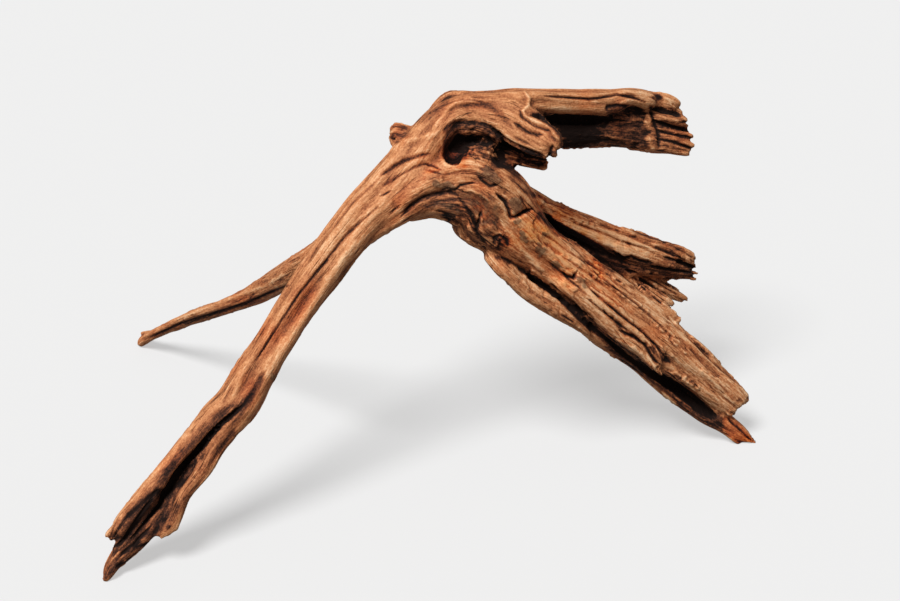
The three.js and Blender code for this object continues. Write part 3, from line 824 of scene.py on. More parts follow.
    # Dark patches paint shadow into the knot hole, the pits of the knob and under the arch, with the
    # knob's darker wood; pale ones are painted light on the hood and the roof of the hole.
    patches: tuple[Patch, ...] = (
        *Patch.each(StainAndShade.DARK, (9, 160.5, 4.5, 4.5, 0, 1.2), (-52, 168.5, 11, 11, 0, 0.32),
            (-54, 174.5, 3, 2, 0, 0.4), (-49, 172.5, 2.5, 2, 0, 0.4), (-56, 163.5, 3, 3, 0, 0.5),
            (-53, 158.5, 3, 2, 0, 0.6), (47, 136.5, 8, 6, -20, 0.9), (-14, 140.5, 12, 16, 0, 0.1),
            (32, 148.5, 15, 10, 0, 0.34), (84, 158.5, 26, 12, -30, 0.1), (28, 198.5, 56, 18, 5, 0.16),
            (-3, 84.5, 4, 2.5, -30, 0.7)),
        *Patch.each(StainAndShade.PALE, (60, 203.5, 16, 5, 0, 0.1), (20, 168.5, 20, 5, 0, 0.25)),
        *Patch.each(StainAndShade.RED, (-52, 168.5, 10, 10, 0, 0.4), (-14, 140.5, 14, 18, 0, 0.5),
            (5, 142.5, 12, 10, 0, 0.6), (12, 126.5, 26, 8, -5, 0.5), (-40, 110.5, 30, 12, 40, 0.5)),
    )
    # Dark faces paint shade into the knot hole, under the lip and the tongue, beside the corner and under
    # the arch; the bark faces are bark.
    faces: tuple[Face, ...] = (
        Face(StainAndShade.DARK, 0.4, 1.2, ((-34, 179.5), (-11, 196.5), (-1, 206.5), (2, 203.5), (-6, 193.5),
            (-19, 182.5), (-29, 174.5))),
        Face(StainAndShade.DARK, 0.16, 1.4, ((-8, 166.5), (-4, 173.5), (5, 178.5), (20, 179.5), (34, 178.5),
            (42, 174.5), (49, 167.5), (50, 157.5), (54, 148.5), (54, 134.5), (48, 132.5), (48, 144.5),
            (42, 152.5), (34, 157.5), (24, 156.5), (18, 150.5), (16, 142.5), (11, 135.5), (3, 134.5),
            (-5, 137.5), (-9, 145.5), (-8, 154.5))),
        Face(StainAndShade.DARK, 0.6, 1.6, ((-6, 170.5), (5, 178.5), (20, 179.5), (34, 178.5), (42, 174.5),
            (49, 167.5), (50, 157.5), (42, 159.5), (28, 163.5), (16, 163.5), (6, 168.5), (-4, 163.5))),
        Face(StainAndShade.DARK, 0.38, 2, ((-4, 164.5), (6, 168.5), (16, 163.5), (20, 156.5), (16, 148.5),
            (16, 142.5), (11, 135.5), (3, 134.5), (-5, 137.5), (-8, 146.5))),
        Face(StainAndShade.DARK, 0.7, 1.4, ((50, 162.5), (55, 158.5), (55, 140.5), (52, 132.5), (48, 134.5),
            (49, 148.5))),
        Face(StainAndShade.DARK, 0.8, 1.4, ((70, 150.5), (83, 146.5), (96, 142.5), (102, 148.5), (110, 151.5),
            (102, 142.5), (96, 138.5), (98, 133.5), (90, 130.5), (78, 133.5), (66, 139.5))),
        Face(StainAndShade.DARK, 0.55, 1.4, ((54, 134.5), (62, 134.5), (69, 126.5), (72, 114.5), (87, 105.5),
            (91, 101.5), (80, 103.5), (68, 111.5), (58, 123.5))),
        Face(StainAndShade.DARK, 0.34, 2, ((-48, 84.5), (-38, 93.5), (-26, 101.5), (-10, 105.5), (6, 104.5),
            (16, 94.5), (24, 80.5), (28, 64.5), (34, 52.5), (24, 54.5), (6, 64.5), (-2, 78.5), (-14, 87.5),
            (-25, 89.5), (-40, 80.5))),
        Face(StainAndShade.BARK, 1, 1.2, ((-18, 122.5), (-13, 121.5), (-9, 117.5), (-2, 118.5), (6, 115.5),
            (7, 112.5), (0, 111.5), (-5, 110.5), (-13, 112.5), (-18, 115.5))),
        Face(StainAndShade.BARK, 0.9, 1.2, ((27, 132.5), (32, 130.5), (37, 134.5), (44, 129.5), (47, 123.5),
            (53, 120.5), (49, 114.5), (40, 116.5), (36, 120.5), (30, 123.5), (24, 128.5))),
        Face(StainAndShade.BARK, 0.55, 3, ((5, 109.5), (20, 110.5), (34, 106.5), (42, 97.5), (45, 84.5),
            (41, 71.5), (34, 60.5), (26, 70.5), (20, 87.5), (10, 101.5))),
        Face(StainAndShade.BARK, 0.6, 3, ((-25, 94.5), (-10, 100.5), (5, 97.5), (12, 86.5), (2, 81.5),
            (-12, 90.5))),
    )


@dataclass(frozen=True)
class RightLeg(Limb):
    """The heavy leg to the right, with a strand that has split off under it."""

    name: str = "right leg"
    strands: tuple[Strand, ...] = (
        Strand("right_leg", ((-52, 92, -128, 16, 16), (-18, 107, -128, 25, 26), (14, 107, -122, 33, 32),
            (37, 94, -112, 40, 34), (63, 73, -98, 35, 33), (82, 56, -84, 28, 30), (110, 35, -66, 26, 28),
            (145, 9, -44, 25, 26), (176, -15, -24, 28, 25), (207, -39, -4, 27, 24), (236, -63, 14, 25, 22),
            (256, -79, 26, 24, 20), (274, -94, 36, 21, 17), (288, -107, 44, 17.5, 13)), flutes=6,
            groove=0.18, seed=11, square=2.5, torn=(4, 5), rough=1.14),
        Strand("right_leg_layer", ((106, 24, -84, 8, 8), (138, 1, -66, 14, 10), (170, -24, -46, 16, 10),
            (196, -46, -28, 13, 9), (210, -71, -17, 4.5, 5)), flutes=3, groove=0.12, seed=29, square=3,
            torn=(4, 10), rough=1.1),
        Strand("right_leg_under", ((58, 54, -84, 10, 12), (88, 24, -64, 16, 16), (124, -4, -40, 18, 17),
            (152, -27, -20, 19, 18), (187, -50, 4, 19, 18), (220, -80, 24, 17.5, 17),
            (250, -104, 37, 15, 14), (273, -121, 45, 11, 11), (292, -134, 49, 8, 8),
            (304, -141, 51, 3, 3)), flutes=4, groove=0.2, seed=12, torn=(4, 5)),
        Strand("right_leg_splinter", ((36, 52, -104, 8, 10), (48, 36, -106, 8, 10), (62, 23, -99, 9, 11),
            (80, 7, -88, 10, 11), (103, -8, -74, 9, 10), (125, -22, -58, 7, 8), (142, -36, -44, 3, 4)),
            flutes=3, groove=0.15, seed=13, torn=(8, 6), rough=0.8),
    )
    splits: tuple[Strand, ...] = (
        Strand("lower_split", ((44, 45.5, -142, 1.5, 10), (55, 43.5, -138, 2.6, 18),
            (71, 32.5, -128, 3.2, 24), (86, 19.5, -118, 3.8, 24), (105, 10.5, -102, 4.6, 24),
            (123, -2.5, -90, 4.8, 22), (140, -18.5, -76, 3.6, 20), (154, -30.5, -66, 2, 10)), sides=12),
        Strand("end_split", ((146, -27.5, -58, 2, 14), (174, -52.5, -36, 4, 22), (198, -70.5, -18, 5, 22),
            (218, -81.5, -4, 6.5, 22), (236, -94.5, 8, 7.5, 22), (255, -109.5, 20, 7, 18),
            (269, -120.5, 30, 3.5, 8)), sides=14),
    )
    splinters: tuple[Splinter, ...] = (
        Splinter((278, -123.5, 46), (306, -143, 52), 3.6),
        Splinter((274, -129.5, 44), (292, -145.5, 50), 3.2),
        Splinter((192, -51.5, -28), (212, -75.5, -17), 3.4),
        Splinter((150, 30.5, -50), (161, 29, -48), 2.6),
        Splinter((236, -39.5, 2), (270, -66.5, 20), 6.4),
        Splinter((190, 10.5, -22), (230, -21.5, -4), 6.5),
    )
    # Each mark's shade is painted shade along the line, and a painted highlight where it is negative.
    marks: tuple[Mark, ...] = (
        Mark("hooked crack", ((46, 107.5), (55, 99.5), (59, 90.5), (61, 82.5), (66, 83.5), (74, 88.5),
            (83, 91.5)), 1.9, -4.5, 1.1),
        Mark("crack over the underside", ((32, 89.5), (29, 79.5), (26, 68.5)), 1.4, -3.5, 0.9),
        Mark("edge of the underside", ((8, 103.5), (15, 95.5), (23, 84.5), (26, 69.5), (37, 53.5)), 2,
            -1.6, 0.45),
        Mark("ridge along the side", ((51, 79.5), (58, 69.5), (65, 60.5), (75, 48.5), (85, 36.5),
            (97, 23.5)), 2.6, 1.6, -0.14),
        Mark("ring of the knot", ((44, 54.5), (44, 62.5), (50, 65.5), (57, 61.5), (58, 53.5)), 1.5, -1.6,
            0.6),
        Mark("short crack", ((112, 26.5), (118, 24.5), (124, 22.5), (127, 29.5)), 1.7, -3.4, 1),
        Mark("long crack", ((138, 13.5), (155, -1.5), (167, -11.5), (182, -23.5), (192, -30.5),
            (205, -43.5), (217, -58.5)), 1.4, -3, 0.75),
        Mark("second long crack", ((150, 20.5), (170, 9.5), (189, -4.5), (200, -15.5), (212, -26.5),
            (220, -35.5), (231, -38.5)), 1.3, -1.8, 0.42),
        Mark("third long crack", ((87, 69.5), (105, 59.5), (123, 46.5), (141, 35.5), (153, 26.5)), 1.1,
            -1.4, 0.32),
        Mark("fourth long crack", ((95, 57.5), (116, 41.5), (135, 29.5), (153, 15.5)), 1.1, -1.2, 0.28),
        Mark("fifth long crack", ((135, 4.5), (154, -11.5), (172, -25.5), (190, -38.5)), 1.2, -1.4, 0.3),
        Mark("crack of the bark", ((98, 38.5), (110, 29.5), (124, 16.5), (140, 3.5)), 1.4, -1.6, 0.5),
        Mark("plate crack", ((170, -30.5), (184, -36.5), (195, -44.5), (201, -54.5), (205, -60.5),
            (211, -64.5)), 1.7, -3.2, 0.9),
        Mark("layer tip", ((211, -64.5), (207, -67.5), (212, -76.5)), 1.5, -2.5, 0.6),
        Mark("lit edge of the layer", ((178, -43.5), (192, -53.5), (202, -62.5), (209, -71.5)), 2.2, 1.2,
            -0.3),
        Mark("end cracks", ((240, -48.5), (256, -65.5), (272, -85.5), (285, -102.5)), 1.2, -1, 0.22),
        Mark("second end crack", ((230, -51.5), (247, -70.5), (262, -88.5), (274, -104.5)), 1.2, -0.9,
            0.18),
        Mark("lit under strand", ((56, 39.5), (76, 22.5), (92, 9.5), (106, -0.5), (120, -13.5),
            (128, -21.5)), 2.8, 1.6, -0.35),
        # Painted shade on the lower half of the under strand, below its lit edge.
        Mark("brown of the under strand", ((47, 35.5), (70, 16.5), (95, -2.5), (115, -17.5), (127, -25.5)),
            2.4, 0, 0.3),
        Mark("lit sliver at the rim", ((212, -91.5), (220, -98.5), (228, -106.5)), 1.7, 1.6, -0.5, 0.3),
        Mark("crack in the red tip", ((278, -118.5), (290, -129.5), (302, -140.5)), 1.2, -1.6, 0.6),
    )
    # Dark patches paint shadow into the knot and the cracks of the layer; pale ones are painted light on
    # the lit parts of the leg, with paler wood.
    patches: tuple[Patch, ...] = (
        *Patch.each(StainAndShade.DARK, (51, 57.5, 7, 6, 0, 0.6), (202, -48.5, 4, 2.5, -40, 0.8),
            (216, -59.5, 5, 3.5, -20, 1), (209, -54.5, 6, 4, -40, 0.5), (289, -99.5, 2, 1.5, 0, 0.8),
            (243, -82.5, 4, 2, -20, 0.5)),
        *Patch.each(StainAndShade.PALE, (256, -71.5, 42, 24, -42, 0.28), (106, 42.5, 66, 22, -38, 0.48),
            (195, -25.5, 44, 16, -40, 0.14)),
        *Patch.each(StainAndShade.RED, (102, 52.5, 84, 28, -38, 0.62), (70, 78.5, 20, 8, -30, 0.5),
            (150, 15.5, 40, 10, -38, 0.3)),
    )
    # The first dark face is painted shadow: the black band under the overhanging upper strand. The pale
    # faces are painted light; the bark and red faces are the wood's own colour.
    faces: tuple[Face, ...] = (
        Face(StainAndShade.DARK, 0.78, 1.5, ((44, 44.5), (55, 43.5), (71, 32.5), (87, 17.5), (103, 9.5),
            (120, -2.5), (135, -15.5), (150, -29.5), (163, -38.5), (177, -47.5), (200, -64.5),
            (211, -75.5), (214, -69.5), (227, -74.5), (236, -84.5), (255, -101.5), (267, -113.5),
            (273, -118.5), (272, -131.5), (255, -124.5), (240, -115.5), (227, -105.5), (218, -94.5),
            (211, -90.5), (192, -75.5), (172, -60.5), (158, -48.5), (150, -39.5), (138, -28.5),
            (130, -21.5), (117, -8.5), (106, 3.5), (99, 6.5), (90, 12.5), (74, 26.5), (54, 41.5),
            (44, 41.5))),
        Face(StainAndShade.DARK, 0.22, 2.5, ((36, 60.5), (42, 72.5), (53, 74.5), (62, 62.5), (72, 49.5),
            (83, 34.5), (98, 20.5), (90, 18.5), (70, 34.5), (54, 45.5), (43, 46.5))),
        Face(StainAndShade.BARK, 1, 1.2, ((56, 102.5), (66, 104.5), (73, 98.5), (74, 91.5), (64, 86.5),
            (60, 92.5))),
        Face(StainAndShade.BARK, 1, 1.2, ((65, 82.5), (70, 80.5), (69, 74.5), (64, 76.5))),
        Face(StainAndShade.BARK, 1, 1.2, ((68, 69.5), (72, 70.5), (76, 64.5), (80, 58.5), (76, 57.5), (71, 62.5))),
        Face(StainAndShade.BARK, 1, 1.2, ((84, 54.5), (88, 56.5), (91, 53.5), (95, 53.5), (99, 47.5), (101, 44.5),
            (95, 46.5), (90, 44.5), (85, 49.5))),
        Face(StainAndShade.BARK, 1, 1.2, ((101, 38.5), (107, 38.5), (111, 33.5), (109, 30.5), (103, 33.5))),
        Face(StainAndShade.BARK, 1, 1.2, ((90, 68.5), (96, 67.5), (98, 64.5), (92, 64.5))),
        Face(StainAndShade.BARK, 0.9, 1.5, ((125, 23.5), (131, 24.5), (137, 17.5), (135, 11.5), (128, 15.5))),
        Face(StainAndShade.BARK, 0.6, 2, ((39, 108.5), (47, 103.5), (50, 88.5), (48, 72.5), (42, 68.5),
            (40, 85.5))),
        Face(StainAndShade.PALE, 0.3, 3, ((186, 2.5), (207, -2.5), (224, -15.5), (225, -23.5), (240, -42.5),
            (226, -37.5), (205, -19.5), (190, -7.5))),
        Face(StainAndShade.PALE, 0.12, 3, ((146, -17.5), (162, -21.5), (190, -45.5), (207, -65.5), (211, -74.5),
            (190, -57.5), (168, -41.5))),
        Face(StainAndShade.DARK, 0.18, 4, ((218, -37.5), (242, -41.5), (252, -51.5), (240, -63.5), (220, -57.5))),
        Face(StainAndShade.RED, 1, 1.5, ((272, -117.5), (281, -113.5), (291, -123.5), (306, -143.5), (294, -141.5),
            (291, -145.5), (283, -140.5), (272, -131.5))),
        Face(StainAndShade.DARK, 0.12, 1.5, ((272, -117.5), (281, -113.5), (291, -123.5), (306, -143.5),
            (294, -141.5), (291, -145.5), (283, -140.5), (272, -131.5))),
    )


@dataclass(frozen=True)
class MiddleBranch(Limb):
    """The torn branch behind the right leg, with the splinters under it."""

    name: str = "middle branch"
    strands: tuple[Strand, ...] = (
        Strand("middle_branch", ((42, 122, -95, 14, 16), (70, 102, -80, 16, 18), (103, 84, -58, 14, 17),
            (134, 71, -36, 16, 17), (165, 59, -14, 17, 17), (196, 49, 8, 17, 16), (224, 41, 28, 14, 14)),
            flutes=5, groove=0.2, seed=14, torn=(4, 12), rough=1.08),
        Strand("middle_end_top", ((196, 57.5, 6, 7, 13), (224, 50.5, 25, 7.5, 12), (244, 41, 38, 6.5, 9)),
            flutes=2, groove=0.1, seed=27, square=4, torn=(2, 9)),
        Strand("middle_end_low", ((192, 38.5, 12, 8, 13), (220, 33.5, 31, 8.5, 12), (243, 30, 44, 6.5, 9)),
            flutes=2, groove=0.1, seed=28, square=4, torn=(2, 9)),
        Strand("middle_branch_under", ((98, 80, -46, 12, 12), (134, 57, -22, 17, 14), (168, 41, 2, 16, 14),
            (200, 36, 20, 13, 13), (228, 29, 38, 9.5, 10), (240, 26, 44, 7, 7)), flutes=4, groove=0.2,
            seed=15, torn=(4, 14), rough=1.1),
        Strand("back_bark", ((38, 142, -92, 10, 12), (53, 126, -86, 11, 12), (66, 111, -78, 9, 12),
            (86, 96, -66, 7, 10)), flutes=3, groove=0.12, seed=16, torn=(4, 6), rough=1.3),
        Strand("stub_upper", ((150, 52, -8, 8, 9), (170, 36, 12, 9, 9), (188, 24, 26, 9, 9),
            (206, 15, 38, 8.5, 8), (222, 7, 48, 7, 6), (233, 0, 54, 4.5, 4)), flutes=3, groove=0.12,
            seed=18, torn=(2, 14)),
        Strand("stub_middle", ((158, 44, -8, 6, 7), (176, 28, 8, 6, 7), (192, 14, 20, 6, 6),
            (208, 3, 28, 4, 4), (223, -6, 34, 2, 2)), flutes=3, groove=0.12, seed=19, torn=(2, 8)),
        Strand("stub_lower", ((150, 46, -14, 6, 7), (166, 30, -2, 6, 6), (184, 15, 8, 5, 5),
            (202, -3, 14, 2, 2)), flutes=3, groove=0.12, seed=20, torn=(2, 6)),
    )
    splits: tuple[Strand, ...] = (
        Strand("branch_split", ((87, 88.5, -84, 1.5, 10), (97, 81.5, -78, 3.2, 16),
            (110, 70.5, -70, 4.4, 18), (128, 59.5, -58, 5.4, 18), (145, 47.5, -48, 7, 18),
            (156, 38.5, -40, 7, 16), (168, 32.5, -34, 4, 10)), sides=14),
    )
    splinters: tuple[Splinter, ...] = (
        Splinter((220, 55.5, 22), (243, 47.5, 30), 3),
        Splinter((222, 48.5, 26), (247, 42, 34), 3),
        Splinter((222, 38.5, 30), (248, 33, 38), 2.8),
        Splinter((218, 31.5, 34), (249, 27, 42), 3),
        Splinter((214, 25.5, 36), (247, 21, 44), 3),
        Splinter((166, 65.5, 2), (214, 58.5, 18), 4.2),
        Splinter((222, 53.5, 22), (236, 53.5, 27), 2.4),
        Splinter((190, 23.5, 26), (238, 0.5, 53), 6),
        Splinter((190, 16.5, 18), (224, -4.5, 34), 4.2),
        Splinter((202, 14.5, 34), (234, -2.5, 53), 3.8),
    )
    # Each mark's shade is painted shade along the line, and a painted highlight where it is negative.
    marks: tuple[Mark, ...] = (
        Mark("edge of the split", ((98, 87.5), (106, 80.5), (117, 75.5), (131, 67.5), (145, 60.5),
            (163, 52.5), (173, 45.5)), 2.2, 1.2, -0.15),
        Mark("lit ridge", ((112, 82.5), (125, 75.5), (145, 64.5), (163, 54.5)), 4, 1.4, -0.2),
        Mark("long groove", ((123, 78.5), (141, 71.5), (157, 65.5), (172, 58.5), (180, 56.5), (195, 51.5),
            (206, 46.5)), 1.3, -2, 0.36),
        Mark("upper groove", ((140, 79.5), (157, 73.5), (170, 69.5), (190, 60.5), (203, 54.5), (217, 48.5),
            (231, 42.5)), 1.3, -2, 0.42),
        Mark("shaded crest", ((183, 69.5), (197, 64.5), (210, 60.5), (222, 55.5), (234, 50.5)), 2.4, -1.4,
            0.45),
        Mark("edge of the top face", ((163, 49.5), (173, 42.5), (181, 44.5), (190, 40.5), (203, 37.5)),
            1.8, -3, 0.7),
        Mark("end groove", ((214, 43.5), (230, 38.5), (245, 33.5)), 1.4, -3.2, 0.9),
        Mark("lower end groove", ((200, 34.5), (222, 30.5), (243, 27.5)), 1.5, -3, 0.8),
        Mark("gap of the splinters", ((188, 23.5), (202, 14.5), (217, 3.5)), 1.2, -2.4, 0.6),
        Mark("lower gap of the splinters", ((188, 17.5), (200, 7.5), (213, -4.5)), 1.4, -2.6, 0.7),
        Mark("grain of the splinter", ((190, 25.5), (210, 16.5), (230, 3.5)), 1.2, -1.4, 0.45),
    )
    # The dark patch is a painted shadow in a pit; the pale one is painted light on the lit face, and the
    # red one is the wood's own colour.
    patches: tuple[Patch, ...] = (
        *Patch.each(StainAndShade.DARK, (179, 57.5, 3, 2, -20, 0.7)),
        *Patch.each(StainAndShade.PALE, (190, 57.5, 44, 12, -20, 0.16)),
        *Patch.each(StainAndShade.RED, (146, 74.5, 62, 16, -20, 0.62)),
    )
    # The pale face is painted light on the lit face of the branch; the dark faces paint shade into the
    # split and under the torn end.
    faces: tuple[Face, ...] = (
        Face(StainAndShade.PALE, 0.48, 3, ((95, 91.5), (110, 86.5), (140, 78.5), (175, 64.5), (205, 54.5),
            (200, 46.5), (182, 46.5), (162, 53.5), (140, 62.5), (120, 74.5), (100, 84.5))),
        Face(StainAndShade.DARK, 0.48, 1.6, ((87, 90.5), (99, 86.5), (105, 79.5), (117, 74.5), (131, 66.5),
            (145, 59.5), (163, 51.5), (173, 43.5), (181, 45.5), (190, 41.5), (203, 38.5), (214, 39.5),
            (248, 34.5), (246, 28.5), (246, 20.5), (225, 20.5), (205, 24.5), (182, 26.5), (161, 27.5),
            (150, 35.5), (137, 49.5), (123, 57.5), (107, 66.5), (94, 77.5), (87, 82.5))),
        Face(StainAndShade.DARK, 0.45, 1.6, ((87, 90.5), (99, 86.5), (117, 74.5), (145, 58.5), (172, 41.5),
            (180, 28.5), (162, 27.5), (150, 35.5), (137, 49.5), (123, 57.5), (107, 66.5), (94, 77.5),
            (87, 82.5))),
        Face(StainAndShade.DARK, 0.16, 3, ((180, 70.5), (202, 66.5), (234, 52.5), (248, 40.5), (244, 34.5),
            (226, 42.5), (200, 54.5))),
    )


@dataclass(frozen=True)
class UpperBranch(Limb):
    """The heavy branch that reaches right from the fork and ends in a torn face."""

    name: str = "upper branch"
    strands: tuple[Strand, ...] = (
        Strand("upper_branch", ((30, 176, -112, 22, 20), (60, 180, -100, 27, 20), (95, 181, -92, 27, 20),
            (130, 181, -76, 28, 20), (160, 182, -62, 29, 20), (190, 179.5, -48, 29, 18),
            (208, 176, -41, 25, 15)), flutes=6, groove=0.16, seed=17, square=2.6, torn=(4, 12)),
        Strand("upper_end_top", ((182, 203.5, -54, 7, 14), (204, 200.5, -46, 8, 16),
            (218, 195.5, -40, 8.5, 15), (227, 189.5, -36.5, 7, 12)), flutes=2, groove=0.1, seed=23,
            square=4, torn=(2, 8)),
        Strand("upper_end_high", ((186, 184, -52, 7, 16), (210, 182, -43, 8.5, 18), (226, 179, -37, 8, 16),
            (236, 176.5, -33, 6.5, 13)), flutes=2, groove=0.1, seed=24, square=4, torn=(2, 9)),
        Strand("upper_end_middle", ((186, 169.5, -50, 6, 14), (212, 168, -40, 8, 15),
            (230, 165.5, -33, 7.5, 14), (239, 164, -30, 6.5, 12)), flutes=2, groove=0.1, seed=25, square=4,
            torn=(2, 9)),
        Strand("upper_end_low", ((180, 157, -52, 6, 15), (212, 155.5, -40, 7, 15),
            (232, 153.5, -31, 6.5, 13), (241, 152.5, -28, 5.5, 11)), flutes=2, groove=0.1, seed=26,
            square=4, torn=(2, 8)),
    )
    splits: tuple[Strand, ...] = (
        Strand("slab_undercut", ((81, 183.5, -128, 2, 12), (100, 181.5, -118, 3.2, 16),
            (128, 180.5, -106, 3.8, 17), (150, 180.5, -98, 3.8, 15), (164, 184.5, -90, 4, 12),
            (178, 186.5, -84, 3.5, 9), (190, 186.5, -78, 2, 5)), sides=14),
    )
    splinters: tuple[Splinter, ...] = (
        Splinter((205, 200.5, -52), (233, 186.5, -44), 4),
        Splinter((205, 182.5, -52), (240, 173.5, -42), 4.2),
        Splinter((210, 170.5, -50), (244, 164.5, -40), 3.4),
        Splinter((210, 161.5, -50), (245, 153.5, -38), 4),
        Splinter((214, 151.5, -48), (240, 145.5, -38), 3),
        Splinter((138, 191.5, -86), (159, 187.5, -84), 3.6),
        Splinter((198, 208.5, -56), (222, 196.5, -48), 3.4),
    )
    # Each mark's shade is painted shade along the line, and a painted highlight where it is negative.
    marks: tuple[Mark, ...] = (
        Mark("under the top slab", ((81, 185.5), (104, 183.5), (137, 181.5), (156, 182.5)), 2.6, -5, 0.6),
        Mark("lit lower band", ((82, 194.5), (105, 193.5), (130, 192.5), (152, 191.5)), 3.4, 0.6, -0.16),
        Mark("between the slabs", ((95, 204.5), (126, 202.5), (140, 201.5), (149, 202.5), (167, 206.5),
            (182, 203), (196, 198.5)), 1.5, -2.6, 0.75),
        Mark("step of the slab", ((156, 189.5), (158, 194.5), (168, 195.5), (182, 193.5), (192, 190.5)),
            1.6, -2.2, 0.5),
        Mark("broken step", ((192, 194.5), (197, 188.5), (195, 177.5), (201, 171.5), (205, 168.5),
            (197, 164.5), (201, 159.5), (205, 155.5)), 1.4, 0.7, 0.04),
        Mark("beyond the step", ((200, 194.5), (202, 184.5), (205, 175.5), (209, 163.5), (209, 152.5)),
            1.5, -2, 0.5),
        Mark("end groove a", ((199, 193), (212, 190.5), (225, 187.5), (231, 184)), 1.8, -3.6, 1.1),
        Mark("end groove b", ((203, 179.5), (220, 173.5), (239, 169.5)), 1.4, -3, 0.9),
        Mark("end groove c", ((207, 170.5), (220, 166.5), (242, 162.5)), 1.3, -2.6, 0.8),
        Mark("end groove d", ((206, 162.5), (226, 157.5), (243, 151.5)), 1.5, -3, 0.9),
        Mark("end ridge", ((205, 186.5), (222, 180.5), (237, 175.5)), 2.2, 1.2, -0.25),
        Mark("lower end ridge", ((211, 160.5), (228, 154.5), (241, 149.5)), 1.8, 1, -0.15),
        Mark("streak in the dark face", ((148, 165.5), (170, 162.5), (191, 158.5)), 1.2, 0.6, -0.2),
        Mark("second streak", ((155, 175.5), (172, 177.5), (190, 181.5)), 1.4, 0.6, -0.18),
    )
    # Dark patches are painted shadow in pits near the torn end.
    patches: tuple[Patch, ...] = (
        *Patch.each(StainAndShade.DARK, (207, 203.5, 4, 2.5, 0, 0.95), (182, 205.5, 6, 1.6, -15, 0.5)),
    )
    # The first two dark faces are painted shadow on the recessed front under the top slab; the third
    # darkens the torn end; the pale face makes the top paler.
    faces: tuple[Face, ...] = (
        Face(StainAndShade.DARK, 0.76, 1.6, ((79, 188.5), (95, 186.5), (133, 184.5), (158, 184.5), (155, 193.5),
            (168, 196.5), (190, 192.5), (196, 186.5), (194, 174.5), (200, 167.5), (195, 162.5),
            (201, 151.5), (182, 151.5), (157, 154.5), (147, 154.5), (112, 152.5), (110, 160.5),
            (103, 170.5), (90, 179.5))),
        Face(StainAndShade.DARK, 0.5, 8, ((79, 188.5), (133, 184.5), (154, 183.5), (150, 154.5), (112, 152.5),
            (103, 170.5))),
        Face(StainAndShade.DARK, 0.4, 2, ((198, 193.5), (214, 192.5), (232, 182.5), (242, 168.5), (246, 148.5),
            (236, 143.5), (205, 147.5), (200, 170.5))),
        Face(StainAndShade.PALE, 0.12, 2, ((170, 212.5), (190, 212.5), (203, 206.5), (202, 200.5), (190, 202.5),
            (172, 207.5))),
    )


LIMBS = (FrontLeg(), RearLeg(), Fork(), RightLeg(), MiddleBranch(), UpperBranch())


@dataclass
class Grain:
    """Where each place lies on the strand it belongs to, and on the next nearest one."""

    first: np.ndarray
    second: np.ndarray
    gap_first: np.ndarray
    gap_second: np.ndarray
    coords_first: np.ndarray
    coords_second: np.ndarray
    rough: np.ndarray
    blend_reach: float = 3.0

    def mix(self) -> np.ndarray:
        """Return the second strand's share, at most a half."""
        lead = np.clip((self.gap_second - self.gap_first) / self.blend_reach, 0.0, 30.0)
        return 1.0 / (1.0 + np.exp(lead))

    def noise(self, along: float, around: float, seed: int) -> np.ndarray:
        """Return noise that is stretched along the grain.

        Args:
            along: its size along the grain, in millimetres.
            around: its size across the grain, in millimetres.
            seed: chooses the pattern.
        """
        scale = np.array([1 / along, 1 / around, 1 / around])
        mix = self.mix()
        ours = Noise.at(self.coords_first * scale, seed)
        theirs = Noise.at(self.coords_second * scale, seed)
        return (ours * (1 - mix) + theirs * mix) / np.sqrt((1 - mix) ** 2 + mix**2)


@dataclass(frozen=True)
class Weave:
    """A pattern stretched along the grain: its size along and across, in millimetres, and its seed."""

    along: float
    across: float
    seed: int

    def on(self, grain: Grain) -> np.ndarray:
        """Return the pattern's value at each place."""
        return grain.noise(self.along, self.across, self.seed)

    def cords(self, grain: Grain, steepness: float = 3.0) -> np.ndarray:
        """Return the pattern folded into round cords: 0 in the lines between them, and 1 on them."""
        return np.minimum(steepness * np.abs(self.on(grain)), 1.0)


@dataclass(frozen=True)
class Mottle:
    """A pattern that has no grain: its size in millimetres, and its seed."""

    size: float
    seed: int

    def on(self, skin: "Skin") -> np.ndarray:
        """Return the pattern's value at each vertex."""
        return Noise.at(skin.places / self.size, self.seed)


